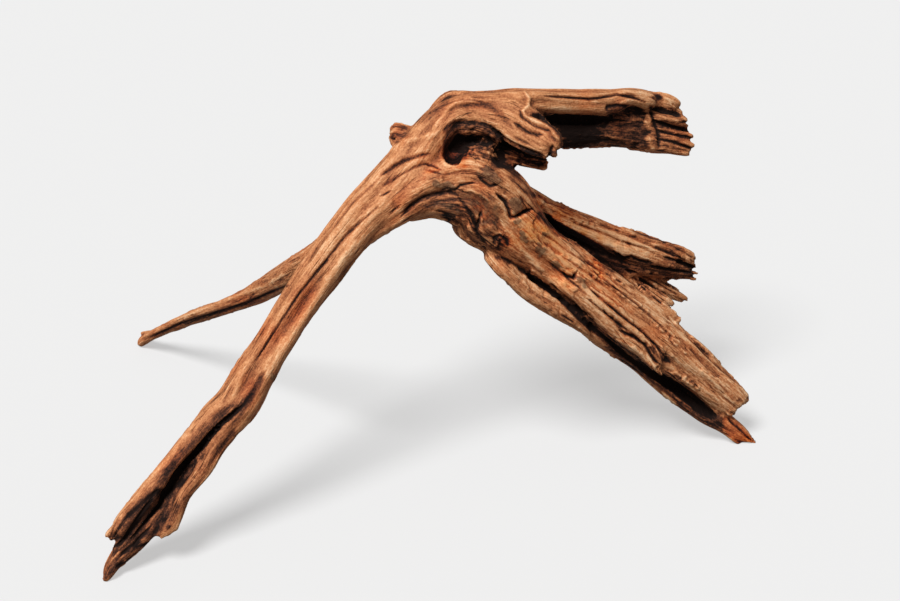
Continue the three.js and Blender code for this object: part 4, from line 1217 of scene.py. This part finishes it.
@dataclass(frozen=True)
class Bundle:
    """All strands together, to find the grain at any place on them."""

    strands: tuple[Strand, ...]
    sight: Sight
    margin: float = 35.0
    seed_shift: float = 97.0

    def on_strand(self, strand: Strand, places: np.ndarray) -> tuple[np.ndarray, np.ndarray]:
        """Find how far places are from one strand's skin, and where they are on it.

        Args:
            strand: the strand.
            places: rows of x, y and z in millimetres.

        Returns:
            The gap to its skin, and rows of along and two values around it.
        """
        course = strand.course(self.sight)
        square = np.sum(places**2, 1)[:, None] + np.sum(course.points**2, 1)[None, :]
        nearest = np.argmin(square - 2 * places @ course.points.T, axis=1)
        ahead = np.sum((places - course.points[nearest]) * course.tangents[nearest], 1)
        pace = course.length() / (len(course.along) - 1)
        exact = np.clip(nearest + ahead / pace, 0, len(course.along) - 1)
        low = np.minimum(exact.astype(int), len(course.along) - 2)
        part = (exact - low)[:, None]

        def between(rows: np.ndarray) -> np.ndarray:
            """Return rows at the exact station of each place."""
            rows = rows if rows.ndim > 1 else rows[:, None]
            return rows[low] * (1 - part) + rows[low + 1] * part

        offset = places - between(course.points)
        wide, deep = between(course.wide)[:, 0], between(course.deep)[:, 0]
        x = np.sum(offset * between(course.sides), 1) / wide
        y = np.sum(offset * between(course.depths), 1) / deep
        reach = np.maximum(np.hypot(x, y), 1e-6)
        beyond = np.abs(np.sum(offset * between(course.tangents), 1))
        inside = (reach - 1) * np.minimum(wide, deep)
        gap = np.where(inside > 0, np.hypot(inside, beyond), np.maximum(inside, beyond - 3.0))
        girth = float(np.mean((course.wide + course.deep) / 2))
        along = between(course.along)[:, 0] + strand.seed * self.seed_shift
        return gap, np.stack([along, girth * x / reach, girth * y / reach], 1)

    def grain(self, places: np.ndarray) -> Grain:
        """Find the two strands that each place belongs to most.

        Args:
            places: rows of x, y and z in millimetres.

        Returns:
            The grain at each place.
        """
        count = len(places)
        first, second = np.zeros(count, int), np.zeros(count, int)
        gap_first, gap_second = np.full(count, 1e6), np.full(count, 1e6)
        coords_first, coords_second = np.zeros((count, 3)), np.zeros((count, 3))
        for index, strand in enumerate(self.strands):
            course = strand.course(self.sight)
            reach = max(course.wide.max(), course.deep.max()) + self.margin
            low, high = course.points.min(0) - reach, course.points.max(0) + reach
            near = np.flatnonzero(np.all((places > low) & (places < high), axis=1))
            if not len(near):
                continue
            gap, coords = self.on_strand(strand, places[near])
            wins = gap < gap_first[near]
            won = near[wins]
            second[won], gap_second[won] = first[won], gap_first[won]
            coords_second[won] = coords_first[won]
            first[won], gap_first[won], coords_first[won] = index, gap[wins], coords[wins]
            next_best = ~wins & (gap < gap_second[near])
            placed = near[next_best]
            second[placed], gap_second[placed] = index, gap[next_best]
            coords_second[placed] = coords[next_best]
        roughness = np.array([strand.rough for strand in self.strands])
        grain = Grain(first, second, gap_first, gap_second, coords_first, coords_second, roughness[first])
        mix = grain.mix()
        grain.rough = roughness[first] * (1 - mix) + roughness[second] * mix
        return grain

    def corner_coords(
        self, places: np.ndarray, grain: Grain, triangles: np.ndarray
    ) -> tuple[np.ndarray, np.ndarray, np.ndarray]:
        """Give the three corners of every triangle coordinates on one and the same pair of strands.

        Args:
            places: the vertices' places in millimetres.
            grain: the grain at the vertices.
            triangles: rows of three vertex indices.

        Returns:
            Coordinates on the first strand, on the second, and the second's share.
        """
        lead = np.argmin(grain.gap_first[triangles], axis=1)
        chosen = triangles[np.arange(len(triangles)), lead]
        pairs = grain.first[chosen], grain.second[chosen]
        corners = triangles.ravel()
        spots = places[corners]
        found = []
        for owners in pairs:
            owner = np.repeat(owners, 3)
            coords, gaps = np.zeros((len(corners), 3)), np.zeros(len(corners))
            for index in np.unique(owner):
                ours = owner == index
                gaps[ours], coords[ours] = self.on_strand(self.strands[index], spots[ours])
            found.append((gaps, coords))
        (gap_a, coords_a), (gap_b, coords_b) = found
        further = np.clip((gap_b - gap_a) / grain.blend_reach, -30.0, 30.0)
        return coords_a, coords_b, 1.0 / (1.0 + np.exp(further))


class Skin:
    """The surface of the piece while it is carved: its vertices and what is known of each."""

    LIFT = 0.8
    FIRST_STEP = 0.6
    SEEN = (0.02, 0.22)
    NEAR_POLE = 0.9
    CLEAR = 0.7

    def __init__(self, obj: bpy.types.Object, bundle: Bundle) -> None:
        """Survey an object's surface.

        Args:
            obj: the piece, in metres.
            bundle: the strands it is made of.
        """
        self.obj = obj
        self.bundle = bundle
        mesh = obj.data
        self.places = rows_of(mesh.vertices, "co") / MM
        self.normals = rows_of(mesh.vertex_normals, "vector")
        edges = np.empty(len(mesh.edges) * 2, dtype=np.int32)
        mesh.edges.foreach_get("vertices", edges)
        self.edges = edges.reshape(-1, 2)
        ends = np.bincount(self.edges.ravel(), minlength=len(self.places))
        self.valence = np.maximum(ends, 1)
        self.grain = bundle.grain(self.places)
        self.across, self.up = bundle.sight.look(self.places)
        self.tree = BVHTree.FromObject(obj, bpy.context.evaluated_depsgraph_get())

    def averaged(self, values: np.ndarray, times: int) -> np.ndarray:
        """Return values blurred over the surface, each time with the next vertices."""
        a, b = self.edges[:, 0], self.edges[:, 1]
        count = len(values)
        for _ in range(times):
            if values.ndim == 1:
                total = np.bincount(a, values[b], count) + np.bincount(b, values[a], count)
                values = 0.5 * values + 0.5 * total / self.valence
            else:
                values = np.stack([self.averaged(column, 1) for column in values.T], 1)
        return values

    def seen(self) -> np.ndarray:
        """Return how openly each vertex lies in the line of sight, from 0 to 1."""
        eye = self.bundle.sight.eye()
        toward = unit(eye - self.places)
        facing = np.sum(toward * self.normals, 1)
        open_to_eye = np.zeros(len(self.places))
        starts = (self.places + self.normals * self.LIFT + toward * self.FIRST_STEP) * MM
        cast = self.tree.ray_cast
        for index in np.flatnonzero(facing > self.SEEN[0]):
            hit = cast(starts[index], toward[index])[0]
            open_to_eye[index] = 1.0 if hit is None else 0.0
        return self.averaged(open_to_eye, 2) * ramp(facing, *self.SEEN)

    def openness(self, reach: float, rays: int) -> np.ndarray:
        """Return how freely each vertex lies open to the space around it.

        Args:
            reach: how far off the wood still shades it, in millimetres.
            rays: how many directions are tried.

        Returns:
            From 0, deep in a split, to 1, in the open.
        """
        steep = np.abs(self.normals[:, 2:]) < self.NEAR_POLE
        pole = np.where(steep, [[0.0, 0.0, 1.0]], [[1.0, 0.0, 0.0]])
        side = unit(np.cross(pole, self.normals))
        other = np.cross(self.normals, side)
        starts = (self.places + self.normals * self.CLEAR) * MM
        blocked = np.zeros(len(self.places))
        cast = self.tree.ray_cast
        for ray in range(rays):
            lean = math.sqrt((ray + 0.5) / rays)
            turn = GOLDEN_ANGLE * ray
            aim = (
                self.normals * math.sqrt(1 - lean * lean)
                + side * (lean * math.cos(turn))
                + other * (lean * math.sin(turn))
            )
            for index in range(len(starts)):
                if cast(starts[index], aim[index], reach * MM)[0] is not None:
                    blocked[index] += 1.0
        return self.averaged(1.0 - blocked / rays, 2)

    def push(self, height: np.ndarray) -> None:
        """Move every vertex along its normal by a height in millimetres."""
        self.places = self.places + self.normals * height[:, None]
        set_vertex_places(self.obj.data, self.places * MM)
        self.normals = rows_of(self.obj.data.vertex_normals, "vector")


class Socket:
    """A shader socket that can be added, multiplied and so on like a number."""

    def __init__(self, sheet: "Sheet", socket: bpy.types.NodeSocket) -> None:
        """Wrap a socket of a sheet."""
        self.sheet = sheet
        self.socket = socket

    def __add__(self, other: "Socket | float") -> "Socket":
        """Return the sum."""
        return self.sheet.maths("ADD", self, other)

    __radd__ = __add__

    def __sub__(self, other: "Socket | float") -> "Socket":
        """Return the difference."""
        return self.sheet.maths("SUBTRACT", self, other)

    def __rsub__(self, other: float) -> "Socket":
        """Return a number less this."""
        return self.sheet.maths("SUBTRACT", other, self)

    def __mul__(self, other: "Socket | float") -> "Socket":
        """Return the product."""
        return self.sheet.maths("MULTIPLY", self, other)

    __rmul__ = __mul__

    def clamped(self) -> "Socket":
        """Return this, kept from 0 to 1."""
        return self.sheet.maths("ADD", self, 0.0, clamp=True)


class Sheet:
    """The node sheet of a material or of the world."""

    def __init__(self, owner: bpy.types.Material | bpy.types.World) -> None:
        """Start an empty sheet for its owner."""
        owner.use_nodes = True
        self.owner = owner
        self.tree = owner.node_tree
        self.tree.nodes.clear()

    def node(
        self, kind: str, settings: dict[str, object], values: dict[object, object]
    ) -> bpy.types.Node:
        """Add a node.

        Args:
            kind: the node's type.
            settings: its own settings, such as an operation.
            values: what goes into its sockets, by name or number: a number, a colour or a Socket.

        Returns:
            The node.
        """
        node = self.tree.nodes.new(kind)
        for key, value in settings.items():
            setattr(node, key, value)
        for key, value in values.items():
            if isinstance(value, Socket):
                self.tree.links.new(value.socket, node.inputs[key])
            else:
                node.inputs[key].default_value = value
        return node

    def out(self, node: bpy.types.Node, name: str | int = 0) -> Socket:
        """Return one of a node's outputs."""
        return Socket(self, node.outputs[name])

    def maths(self, operation: str, a: object, b: object, clamp: bool = False) -> Socket:
        """Return the result of a Math node."""
        settings = {"operation": operation, "use_clamp": clamp}
        return self.out(self.node("ShaderNodeMath", settings, {0: a, 1: b}))

    def ramp(self, value: Socket, stops: dict[float, Colour]) -> Socket:
        """Return a colour that runs through stops, given as colours by place."""
        node = self.node("ShaderNodeValToRGB", {}, {0: value})
        elements = node.color_ramp.elements
        for index, (place, colour) in enumerate(stops.items()):
            if index < len(elements):
                elements[index].position = place
            else:
                elements.new(place)
            elements[index].color = light(colour)
        return self.out(node)

    def attribute(self, name: str, output: str) -> Socket:
        """Return an output of the mesh's own attribute."""
        return self.out(self.node("ShaderNodeAttribute", {"attribute_name": name}, {}), output)

    def mix(self, share: object, a: object, b: object, blend: str = "MIX") -> Socket:
        """Return a mix of two colours."""
        settings = {"data_type": "RGBA", "blend_type": blend}
        node = self.node("ShaderNodeMix", settings, {0: share, 6: a, 7: b})
        return self.out(node, 2)

    def blend(self, share: Socket, a: Socket, b: Socket) -> Socket:
        """Return a mix of two numbers."""
        return a + share * (b - a)

    def stretched(self, coords: Socket, scale: Triple, detail: float) -> Socket:
        """Return noise on coordinates that are scaled first."""
        mapped = self.node(
            "ShaderNodeMapping", {"vector_type": "POINT"}, {"Vector": coords, "Scale": scale}
        )
        noise = self.node(
            "ShaderNodeTexNoise",
            {"noise_dimensions": "3D"},
            {"Vector": self.out(mapped), "Scale": 1.0, "Detail": detail},
        )
        return self.out(noise, "Fac")


def light(colour: Colour) -> Light:
    """Return a screen colour of 0 to 255 as linear light that is not see-through."""

    def linear(value: int) -> float:
        """Return one channel as linear light."""
        share = value / 255
        return share / 12.92 if share <= 0.04045 else ((share + 0.055) / 1.055) ** 2.4

    return *map(linear, colour), 1.0


@dataclass(frozen=True)
class WeatheredWoodAndShade:
    """The finish of the piece: streaked orange brown wood and grey bark, with painted shade that darkens
    splits, hollows and undersides to near black, and painted highlight on lit faces.
    """

    # The ramp's dark end is reached mostly where the painted shade is strong.
    pitch_and_deep_shade: Colour = (26, 12, 7)
    earth: Colour = (88, 50, 33)
    russet: Colour = (160, 96, 59)
    tan: Colour = (206, 140, 93)
    straw: Colour = (238, 190, 146)
    bark: Colour = (116, 85, 62)
    bark_dark: Colour = (50, 32, 23)
    plum: Colour = (172, 100, 52)
    hair_scale: Triple = (0.13, 0.75, 0.75)
    streak_scale: Triple = (0.022, 0.30, 0.30)
    crack_scale: Triple = (0.010, 0.16, 0.16)
    cracked_scale: Triple = (0.030, 0.06, 0.06)
    grit_size: float = 620.0
    scale_size: float = 170.0
    patch_size: float = 26.0
    bump_depth: float = 0.0013
    gloss: float = 0.2

    def material(self) -> bpy.types.Material:
        """Make the wood material, which follows the mesh's own grain coordinates."""
        sheet = Sheet(bpy.data.materials.new("weathered_wood_and_painted_shade"))
        first = sheet.attribute("grain_first", "Vector")
        second = sheet.attribute("grain_second", "Vector")
        share = sheet.attribute("grain_share", "Fac")

        def along_grain(scale: Triple, detail: float) -> Socket:
            """Return noise that runs along the grain."""
            ours = sheet.stretched(first, scale, detail)
            theirs = sheet.stretched(second, scale, detail)
            return sheet.blend(share, ours, theirs)

        hairs = along_grain(self.hair_scale, 4.0)
        streaks = along_grain(self.streak_scale, 4.0)
        seams = sheet.maths("ABSOLUTE", along_grain(self.crack_scale, 2.0) - 0.5, 0.0)
        spread = ((along_grain(self.cracked_scale, 2.0) - 0.50) * 9.0).clamped()
        cracks = (1.0 - seams * 48.0).clamped() * spread
        # shade is painted shade, and painted highlight where negative, with the wood's random tone in it.
        shade = sheet.attribute("shade", "Fac")
        coords = sheet.out(sheet.node("ShaderNodeTexCoord", {}, {}), "Object")
        grit = sheet.stretched(coords, (self.grit_size,) * 3, 4.0)
        calm = sheet.attribute("calm", "Fac")
        # Painted shade pulls the tone down the ramp; the crack lines darken it as painted shade as well.
        tone = 0.60 + calm * ((streaks - 0.5) * 0.54 + (hairs - 0.5) * 0.92) - shade * 0.62
        tone = (tone + (grit - 0.5) * 0.6 - calm * cracks * 0.35).clamped()
        stops = {0.0: self.pitch_and_deep_shade, 0.24: self.earth, 0.48: self.russet, 0.72: self.tan, 1.0: self.straw}
        wood = sheet.ramp(tone, stops)
        red = sheet.attribute("red", "Fac")
        patches = sheet.stretched(coords, (self.patch_size,) * 3, 3.0)
        rust = (red * 0.75 + (patches - 0.52) * 2.0).clamped()
        wood = sheet.mix(rust, wood, light(self.plum), "SOFT_LIGHT")
        scales = sheet.stretched(coords, (self.scale_size,) * 3, 3.0)
        # The bark's flecks are darkened by the painted shade as well.
        flecks = (0.5 + (grit - 0.5) * 2.0 + (scales - 0.5) * 1.6 + (hairs - 0.5) - shade * 0.5).clamped()
        bark = sheet.mix(flecks, light(self.bark_dark), light(self.bark))
        barked = sheet.attribute("bark", "Fac") * 2.0 + (grit - 0.5) * 1.6 + (scales - 0.5) * 3.0 - 0.62
        colour = sheet.mix(barked.clamped() * 0.74, wood, bark)
        height = hairs * 0.8 + streaks * 1.0 + grit * 0.45 - cracks * 0.9
        relief = {"Strength": 0.9, "Distance": self.bump_depth, "Height": height}
        bump = sheet.node("ShaderNodeBump", {}, relief)
        roughness = (0.66 + shade * 0.2 + (hairs - 0.5) * 0.2).clamped()
        finish = {"Base Color": colour, "Roughness": roughness, "Normal": sheet.out(bump)}
        finish["Specular IOR Level"] = self.gloss
        body = sheet.node("ShaderNodeBsdfPrincipled", {}, finish)
        sheet.node("ShaderNodeOutputMaterial", {}, {"Surface": sheet.out(body)})
        return sheet.owner


@dataclass(frozen=True)
class Shading:
    """Weights of painted shade for each form of the surface, painted highlight where negative; drifts,
    cloud and bark mottle weigh the wood's own random tone.
    """

    crack: float = 0.44
    cord: float = -0.08
    fibre: float = -0.08
    torn_edge: float = 0.30
    layer: float = -0.10
    slab: float = -0.22
    wart: float = -0.2
    long_drift: float = 0.10
    short_drift: float = 0.14
    cloud: float = 0.13
    # hollow, bowl and dish paint shade into hollows and concave places, and bowl a slight highlight on
    # convex ones.
    hollow: float = 1.5
    bowl: float = 0.5
    dish: float = 0.12
    bark_rim: float = 1.1
    bark_mottle: float = 0.3


@dataclass
class Driftwood:
    """The whole piece: its limbs, fused, split, carved and dressed.

    Heights and depths are in millimetres. What ends in edge is where a pattern starts to count,
    and where it counts in full.
    """

    sight: Sight
    limbs: tuple[Limb, ...]
    coarse_voxel: float = 2.4
    fine_voxel: float = 1.45
    most_triangles: int = 196000
    slabs: Weave = Weave(90, 19, 5)
    cords: Weave = Weave(70, 8.5, 7)
    fibres: Weave = Weave(42, 4.5, 9)
    layers: Weave = Weave(70, 12, 13)
    crack_lines: Weave = Weave(170, 11, 21)
    cracked_parts: Weave = Weave(60, 16, 25)
    long_drift: Weave = Weave(110, 20, 31)
    short_drift: Weave = Weave(30, 12, 33)
    flakes: Weave = Weave(38, 13, 51)
    rims: Weave = Weave(16, 5, 61)
    lumps: Mottle = Mottle(26.0, 3)
    warts: Mottle = Mottle(4.2, 17)
    layer_fray: Mottle = Mottle(6.0, 14)
    clouds: Mottle = Mottle(8.0, 34)
    red_parts: Mottle = Mottle(48.0, 41)
    flake_fray: Mottle = Mottle(7.0, 53)
    rim_fray: Mottle = Mottle(2.6, 62)
    bark_bumps: Mottle = Mottle(3.2, 63)
    bark_mottle: Mottle = Mottle(4.0, 64)
    layer_edge: Pair = (0.04, 0.13)
    cracked_edge: Pair = (0.20, 0.45)
    crack_edge: Pair = (0.03, 0.15)
    red_edge: Pair = (0.05, 0.6)
    flake_edge: Pair = (0.42, 0.50)
    hollow_edge: Pair = (0.34, 0.88)
    slab_height: float = 3.0
    cord_height: float = 0.5
    fibre_height: float = 0.4
    layer_height: float = 2.0
    lump_height: float = 0.7
    wart_height: float = 1.6
    crack_depth: float = 1.8
    bark_height: float = 0.9
    smooth_below: float = 0.45
    warts_above: float = 1.15
    hollow_reach: float = 32.0
    hollow_rays: int = 10
    tip_place: Pair = (0.3, 0.7)
    tip_reach: Pair = (8.0, 16.0)
    tip_smoothing: float = 0.25
    smoothing_steps: int = 4
    shading: Shading = Shading()

    def bundle(self) -> Bundle:
        """Return all strands together."""
        return Bundle(tuple(s for limb in self.limbs for s in limb.strands), self.sight)

    def raw_body(self) -> bpy.types.Object:
        """Fuse all strands, cut the splits and smooth the joints between strands."""
        strands = [strand.model(self.sight) for limb in self.limbs for strand in limb.strands]
        wood = fuse(strands, self.coarse_voxel)
        wood.name = "driftwood_wood"
        splits = [split.model(self.sight) for limb in self.limbs for split in limb.splits]
        if splits:
            tool = fuse(splits, self.fine_voxel)
            apply_modifier(wood, "BOOLEAN", operation="DIFFERENCE", solver="EXACT", object=tool)
            bpy.data.objects.remove(tool)
        splinters = [
            splinter.strand().model(self.sight) for limb in self.limbs for splinter in limb.splinters
        ]
        wood = self.without_scraps(fuse([wood, *splinters], self.fine_voxel))
        self.round_off(wood)
        return wood

    def without_scraps(self, wood: bpy.types.Object) -> bpy.types.Object:
        """Return the body alone, without the crumbs that fusing and cutting leave."""
        pick(wood)
        bpy.ops.object.mode_set(mode="EDIT")
        bpy.ops.mesh.select_all(action="SELECT")
        bpy.ops.mesh.separate(type="LOOSE")
        bpy.ops.object.mode_set(mode="OBJECT")
        pieces = sorted(bpy.context.selected_objects, key=lambda piece: len(piece.data.polygons))
        for scrap in pieces[:-1]:
            bpy.data.objects.remove(scrap)
        pieces[-1].name = "driftwood_wood"
        return pieces[-1]

    def round_off(self, wood: bpy.types.Object) -> None:
        """Smooth the wood, but less so near its torn ends."""
        places = rows_of(wood.data.vertices, "co") / MM
        weight = np.ones(len(places))
        for limb in self.limbs:
            for splinter in limb.splinters:
                ends = self.sight.place(np.array([splinter.start, splinter.end]))
                tip = ends[0] * self.tip_place[0] + ends[1] * self.tip_place[1]
                gap = np.linalg.norm(places - tip, axis=1)
                weight = np.minimum(weight, ramp(gap, *self.tip_reach))
        group = wood.vertex_groups.new(name="smooth")
        steps, least = self.smoothing_steps, self.tip_smoothing
        for share in range(steps + 1):
            chosen = np.flatnonzero(np.rint(weight * steps) == share).tolist()
            group.add(chosen, least + (1 - least) * share / steps, "REPLACE")
        apply_modifier(wood, "SMOOTH", factor=0.5, iterations=3, vertex_group="smooth")
        wood.vertex_groups.clear()

    def relief(self, skin: Skin, seen: np.ndarray) -> dict[str, np.ndarray]:
        """Work out the carving of every vertex.

        Args:
            skin: the surface.
            seen: how openly each vertex lies in the line of sight.

        Returns:
            height in millimetres; shade, which is painted shade and painted highlight with the wood's own
            random tone in it; red; and bark.
        """
        grain, rough, shade_weights = skin.grain, skin.grain.rough, self.shading
        coarse = np.clip(rough - self.smooth_below, 0.0, 1.0)
        lumps = self.lumps.on(skin)
        warts = self.warts.on(skin) * np.clip(rough - self.warts_above, 0.0, 1.0)
        slabs = self.slabs.on(grain)
        cords, fibres = self.cords.cords(grain), self.fibres.cords(grain)
        layers = ramp(self.layers.on(grain) + 0.25 * self.layer_fray.on(skin), *self.layer_edge)
        torn_edge = 4 * layers * (1 - layers)
        cracked = ramp(self.cracked_parts.on(grain) + 0.5 * lumps, *self.cracked_edge)
        cracks = (1 - ramp(np.abs(self.crack_lines.on(grain)), *self.crack_edge)) * cracked
        height = (
            self.slab_height * coarse * slabs
            + self.cord_height * rough * (cords - 0.7)
            + self.fibre_height * rough * (fibres - 0.7)
            + self.layer_height * coarse * (layers - 0.5)
            - self.crack_depth * rough * cracks
        )
        height = height + self.lump_height * lumps + self.wart_height * warts
        # Painted shade in cracks and along torn layer edges, painted highlight on raised cords, fibres,
        # layers, slabs and warts; the drift and cloud terms are the wood's own random tone.
        shade = rough * (shade_weights.crack * cracks + shade_weights.cord * (cords - 0.75) + shade_weights.fibre * (fibres - 0.75))
        broad = shade_weights.torn_edge * torn_edge + shade_weights.layer * (layers - 0.5) + shade_weights.slab * slabs
        shade = shade + coarse * broad + shade_weights.wart * warts
        drift = shade_weights.long_drift * self.long_drift.on(grain) + shade_weights.short_drift * self.short_drift.on(grain)
        shade = shade + (0.3 + 0.7 * rough) * (drift + shade_weights.cloud * self.clouds.on(skin))
        red = 0.25 * ramp(self.red_parts.on(skin), *self.red_edge)
        flakes = ramp(self.flakes.on(grain) + 0.45 * self.flake_fray.on(skin), *self.flake_edge)
        bark = flakes * (1 - np.minimum(seen * 2.5, 1.0)) * np.minimum(rough, 1)
        rim = 0.9 * self.rims.on(grain) + 0.45 * self.rim_fray.on(skin)
        for limb in self.limbs:
            # Each mark's shade is painted shade along it, and a painted highlight where it is negative.
            for mark in limb.marks:
                near = mark.nearness(skin.across, skin.up) * seen
                height = height + mark.height * near
                shade = shade + mark.shade * near
                red = red + mark.red * near
            for patch in (*limb.patches, *limb.faces):
                cover = patch.cover(skin.across, skin.up, rim) * seen
                if patch.coat is StainAndShade.BARK:
                    bark = np.maximum(bark, cover)
                # Dark patches and faces add painted shadow along with darker wood; pale ones take shade
                # away as painted highlight along with paler wood.
                elif patch.coat is StainAndShade.DARK:
                    shade = shade + cover
                elif patch.coat is StainAndShade.PALE:
                    shade = shade - cover
                else:
                    red = red + cover
        height = height + bark * (self.bark_height + 0.5 * self.bark_bumps.on(skin))
        # Painted shade round the rims of the bark; the mottle after it is the bark's own random tone.
        shade = shade + shade_weights.bark_rim * bark * (1.0 - bark)
        shade = shade + shade_weights.bark_mottle * bark * self.bark_mottle.on(skin)
        return {"height": height, "shade": shade, "red": red, "bark": bark}

    def carve(self, wood: bpy.types.Object) -> None:
        """Carve the marks and the grain into the fused body."""
        skin = Skin(wood, self.bundle())
        self.report("surveyed", wood)
        relief = self.relief(skin, skin.seen())
        skin.push(relief["height"])

    def thin(self, wood: bpy.types.Object) -> None:
        """Bring the mesh under its limit of triangles."""
        apply_modifier(wood, "TRIANGULATE")
        share = self.most_triangles / len(wood.data.polygons)
        if share < 1:
            apply_modifier(wood, "DECIMATE", decimate_type="COLLAPSE", ratio=share)

    def settle(self, wood: bpy.types.Object) -> None:
        """Press the three tips flat at floor level."""
        places = rows_of(wood.data.vertices, "co")
        places[:, 2] = np.maximum(places[:, 2], 0.0)
        set_vertex_places(wood.data, places)

    def paint(self, wood: bpy.types.Object) -> None:
        """Write the painted shade and highlight, the red and bark colour and the grain's coordinates onto
        the finished mesh.
        """
        skin = Skin(wood, self.bundle())
        relief = self.relief(skin, skin.seen())
        hollow = 1 - skin.openness(self.hollow_reach, self.hollow_rays)
        bowl = np.sum((skin.averaged(skin.places, 3) - skin.places) * skin.normals, 1)
        dish = np.sum((skin.averaged(skin.places, 16) - skin.places) * skin.normals, 1)
        shade_weights = self.shading
        # Painted shade in hollows and splits, from how closed in each vertex is, and in concave places,
        # with a slight painted highlight on convex ones.
        shade = relief["shade"] + shade_weights.hollow * ramp(hollow, *self.hollow_edge)
        shade = shade + shade_weights.bowl * np.clip(bowl, -0.5, 0.8) + shade_weights.dish * np.clip(dish, -1.5, 2.0)
        mesh = wood.data
        shade_and_stains = {"shade": np.clip(shade, -0.6, 1.3), "red": relief["red"], "bark": relief["bark"]}
        shade_and_stains["calm"] = np.clip(0.40 + 0.72 * skin.grain.rough, 0.0, 1.25)
        for name, values in shade_and_stains.items():
            self.write(mesh, name, values, "POINT")
        corners = np.empty(len(mesh.loops), dtype=np.int32)
        mesh.loops.foreach_get("vertex_index", corners)
        first, second, share = skin.bundle.corner_coords(skin.places, skin.grain, corners.reshape(-1, 3))
        for name, values in (("grain_first", first), ("grain_second", second), ("grain_share", share)):
            self.write(mesh, name, values, "CORNER")

    def write(self, mesh: bpy.types.Mesh, name: str, values: np.ndarray, domain: str) -> None:
        """Write numbers, or rows of three, onto a mesh as an attribute.

        Args:
            mesh: the mesh.
            name: the attribute's name.
            values: one number or one row for each point or corner.
            domain: what they belong to, "POINT" or "CORNER".
        """
        kind, field = ("FLOAT", "value") if values.ndim == 1 else ("FLOAT_VECTOR", "vector")
        attribute = mesh.attributes.new(name, kind, domain)
        attribute.data.foreach_set(field, values.astype(np.float32).ravel())

    def report(self, stage: str, wood: bpy.types.Object) -> None:
        """Log how far the work has come."""
        LOG.info("%s: %d vertices, %d faces", stage, len(wood.data.vertices), len(wood.data.polygons))

    def build(self) -> bpy.types.Object:
        """Build, carve and dress the whole piece."""
        wood = self.raw_body()
        self.report("fused", wood)
        self.carve(wood)
        self.report("carved", wood)
        self.thin(wood)
        self.settle(wood)
        self.report("thinned", wood)
        self.paint(wood)
        self.report("painted", wood)
        wood.data.materials.clear()
        wood.data.materials.append(WeatheredWoodAndShade().material())
        pick(wood)
        bpy.ops.object.shade_smooth()
        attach(wood, "root")
        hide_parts("driftwood")
        return wood


@dataclass(frozen=True)
class Studio:
    """The plain pale floor, the soft light from above left, and the camera."""

    sight: Sight
    lens: float = 85.0
    sensor: float = 36.0
    floor_size: float = 14.0
    floor_colour: Colour = (239, 239, 239)
    key_strength: float = 3.8
    key_softness: float = math.radians(22.0)
    key_turn: Triple = (math.radians(24), math.radians(-20), 0.0)
    fill_strength: float = 0.24
    fill_colour: Light = (1.0, 0.985, 0.96, 1.0)
    floor_glow: float = 0.860
    glow_share: float = 0.65

    def floor(self) -> bpy.types.Object:
        """Lay the floor just under the three tips."""
        bpy.ops.object.select_all(action="DESELECT")
        bpy.ops.mesh.primitive_plane_add(size=self.floor_size, location=(0.0, 0.0, 0.0))
        floor = bpy.context.active_object
        floor.name = "floor"
        bpy.ops.object.transform_apply(location=True, rotation=True, scale=True)
        sheet = Sheet(bpy.data.materials.new("pale_floor"))
        pale = light(self.floor_colour)
        matt = sheet.node("ShaderNodeBsdfDiffuse", {}, {"Color": pale})
        glow = sheet.node("ShaderNodeEmission", {}, {"Color": pale, "Strength": self.floor_glow})
        layers = {0: self.glow_share, 1: sheet.out(matt), 2: sheet.out(glow)}
        both = sheet.node("ShaderNodeMixShader", {}, layers)
        sheet.node("ShaderNodeOutputMaterial", {}, {"Surface": sheet.out(both)})
        floor.data.materials.append(sheet.owner)
        floor.visible_diffuse = False
        floor.visible_glossy = False
        return floor

    def light(self) -> bpy.types.Object:
        """Hang the soft key light and set the dim light all round."""
        lamp = bpy.data.lights.new("key", "SUN")
        lamp.energy = self.key_strength
        lamp.angle = self.key_softness
        key = bpy.data.objects.new("key", lamp)
        key.rotation_euler = self.key_turn
        bpy.context.scene.collection.objects.link(key)
        world = bpy.data.worlds.new("studio")
        bpy.context.scene.world = world
        sheet = Sheet(world)
        pale = light(self.floor_colour)
        seen = sheet.out(sheet.node("ShaderNodeLightPath", {}, {}), "Is Camera Ray")
        fill = {"Color": self.fill_colour, "Strength": self.fill_strength}
        dim = sheet.node("ShaderNodeBackground", {}, fill)
        wall = sheet.node("ShaderNodeBackground", {}, {"Color": pale, "Strength": 1.0})
        layers = {0: seen, 1: sheet.out(dim), 2: sheet.out(wall)}
        both = sheet.node("ShaderNodeMixShader", {}, layers)
        sheet.node("ShaderNodeOutputWorld", {}, {"Surface": sheet.out(both)})
        return key

    def camera(self) -> bpy.types.Object:
        """Set the camera at the photograph's eye point."""
        data = bpy.data.cameras.new("camera")
        data.sensor_fit = "HORIZONTAL"
        data.sensor_width = self.sensor
        data.lens = self.lens
        data.clip_end = 50.0
        camera = bpy.data.objects.new("camera", data)
        camera.location = Vector(self.sight.eye() * MM)
        camera.rotation_euler = Vector(self.sight.away()).to_track_quat("-Z", "Y").to_euler()
        bpy.context.scene.collection.objects.link(camera)
        bpy.context.scene.camera = camera
        return camera

    def build(self) -> None:
        """Build the stage."""
        self.floor()
        self.light()
        self.camera()
        bpy.context.scene.view_settings.view_transform = "Standard"
        bpy.context.scene.view_settings.look = "None"


def main() -> None:
    """Build the piece and its stage, and report each."""
    logging.basicConfig(level=logging.INFO, format="%(message)s")
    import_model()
    sight = Sight()
    Studio(sight).build()
    LOG.info("stage: floor, key light and camera")
    wood = Driftwood(sight, LIMBS).build()
    LOG.info("%s: %d triangles", wood.name, len(wood.data.polygons))


if __name__ == "__main__":
    main()
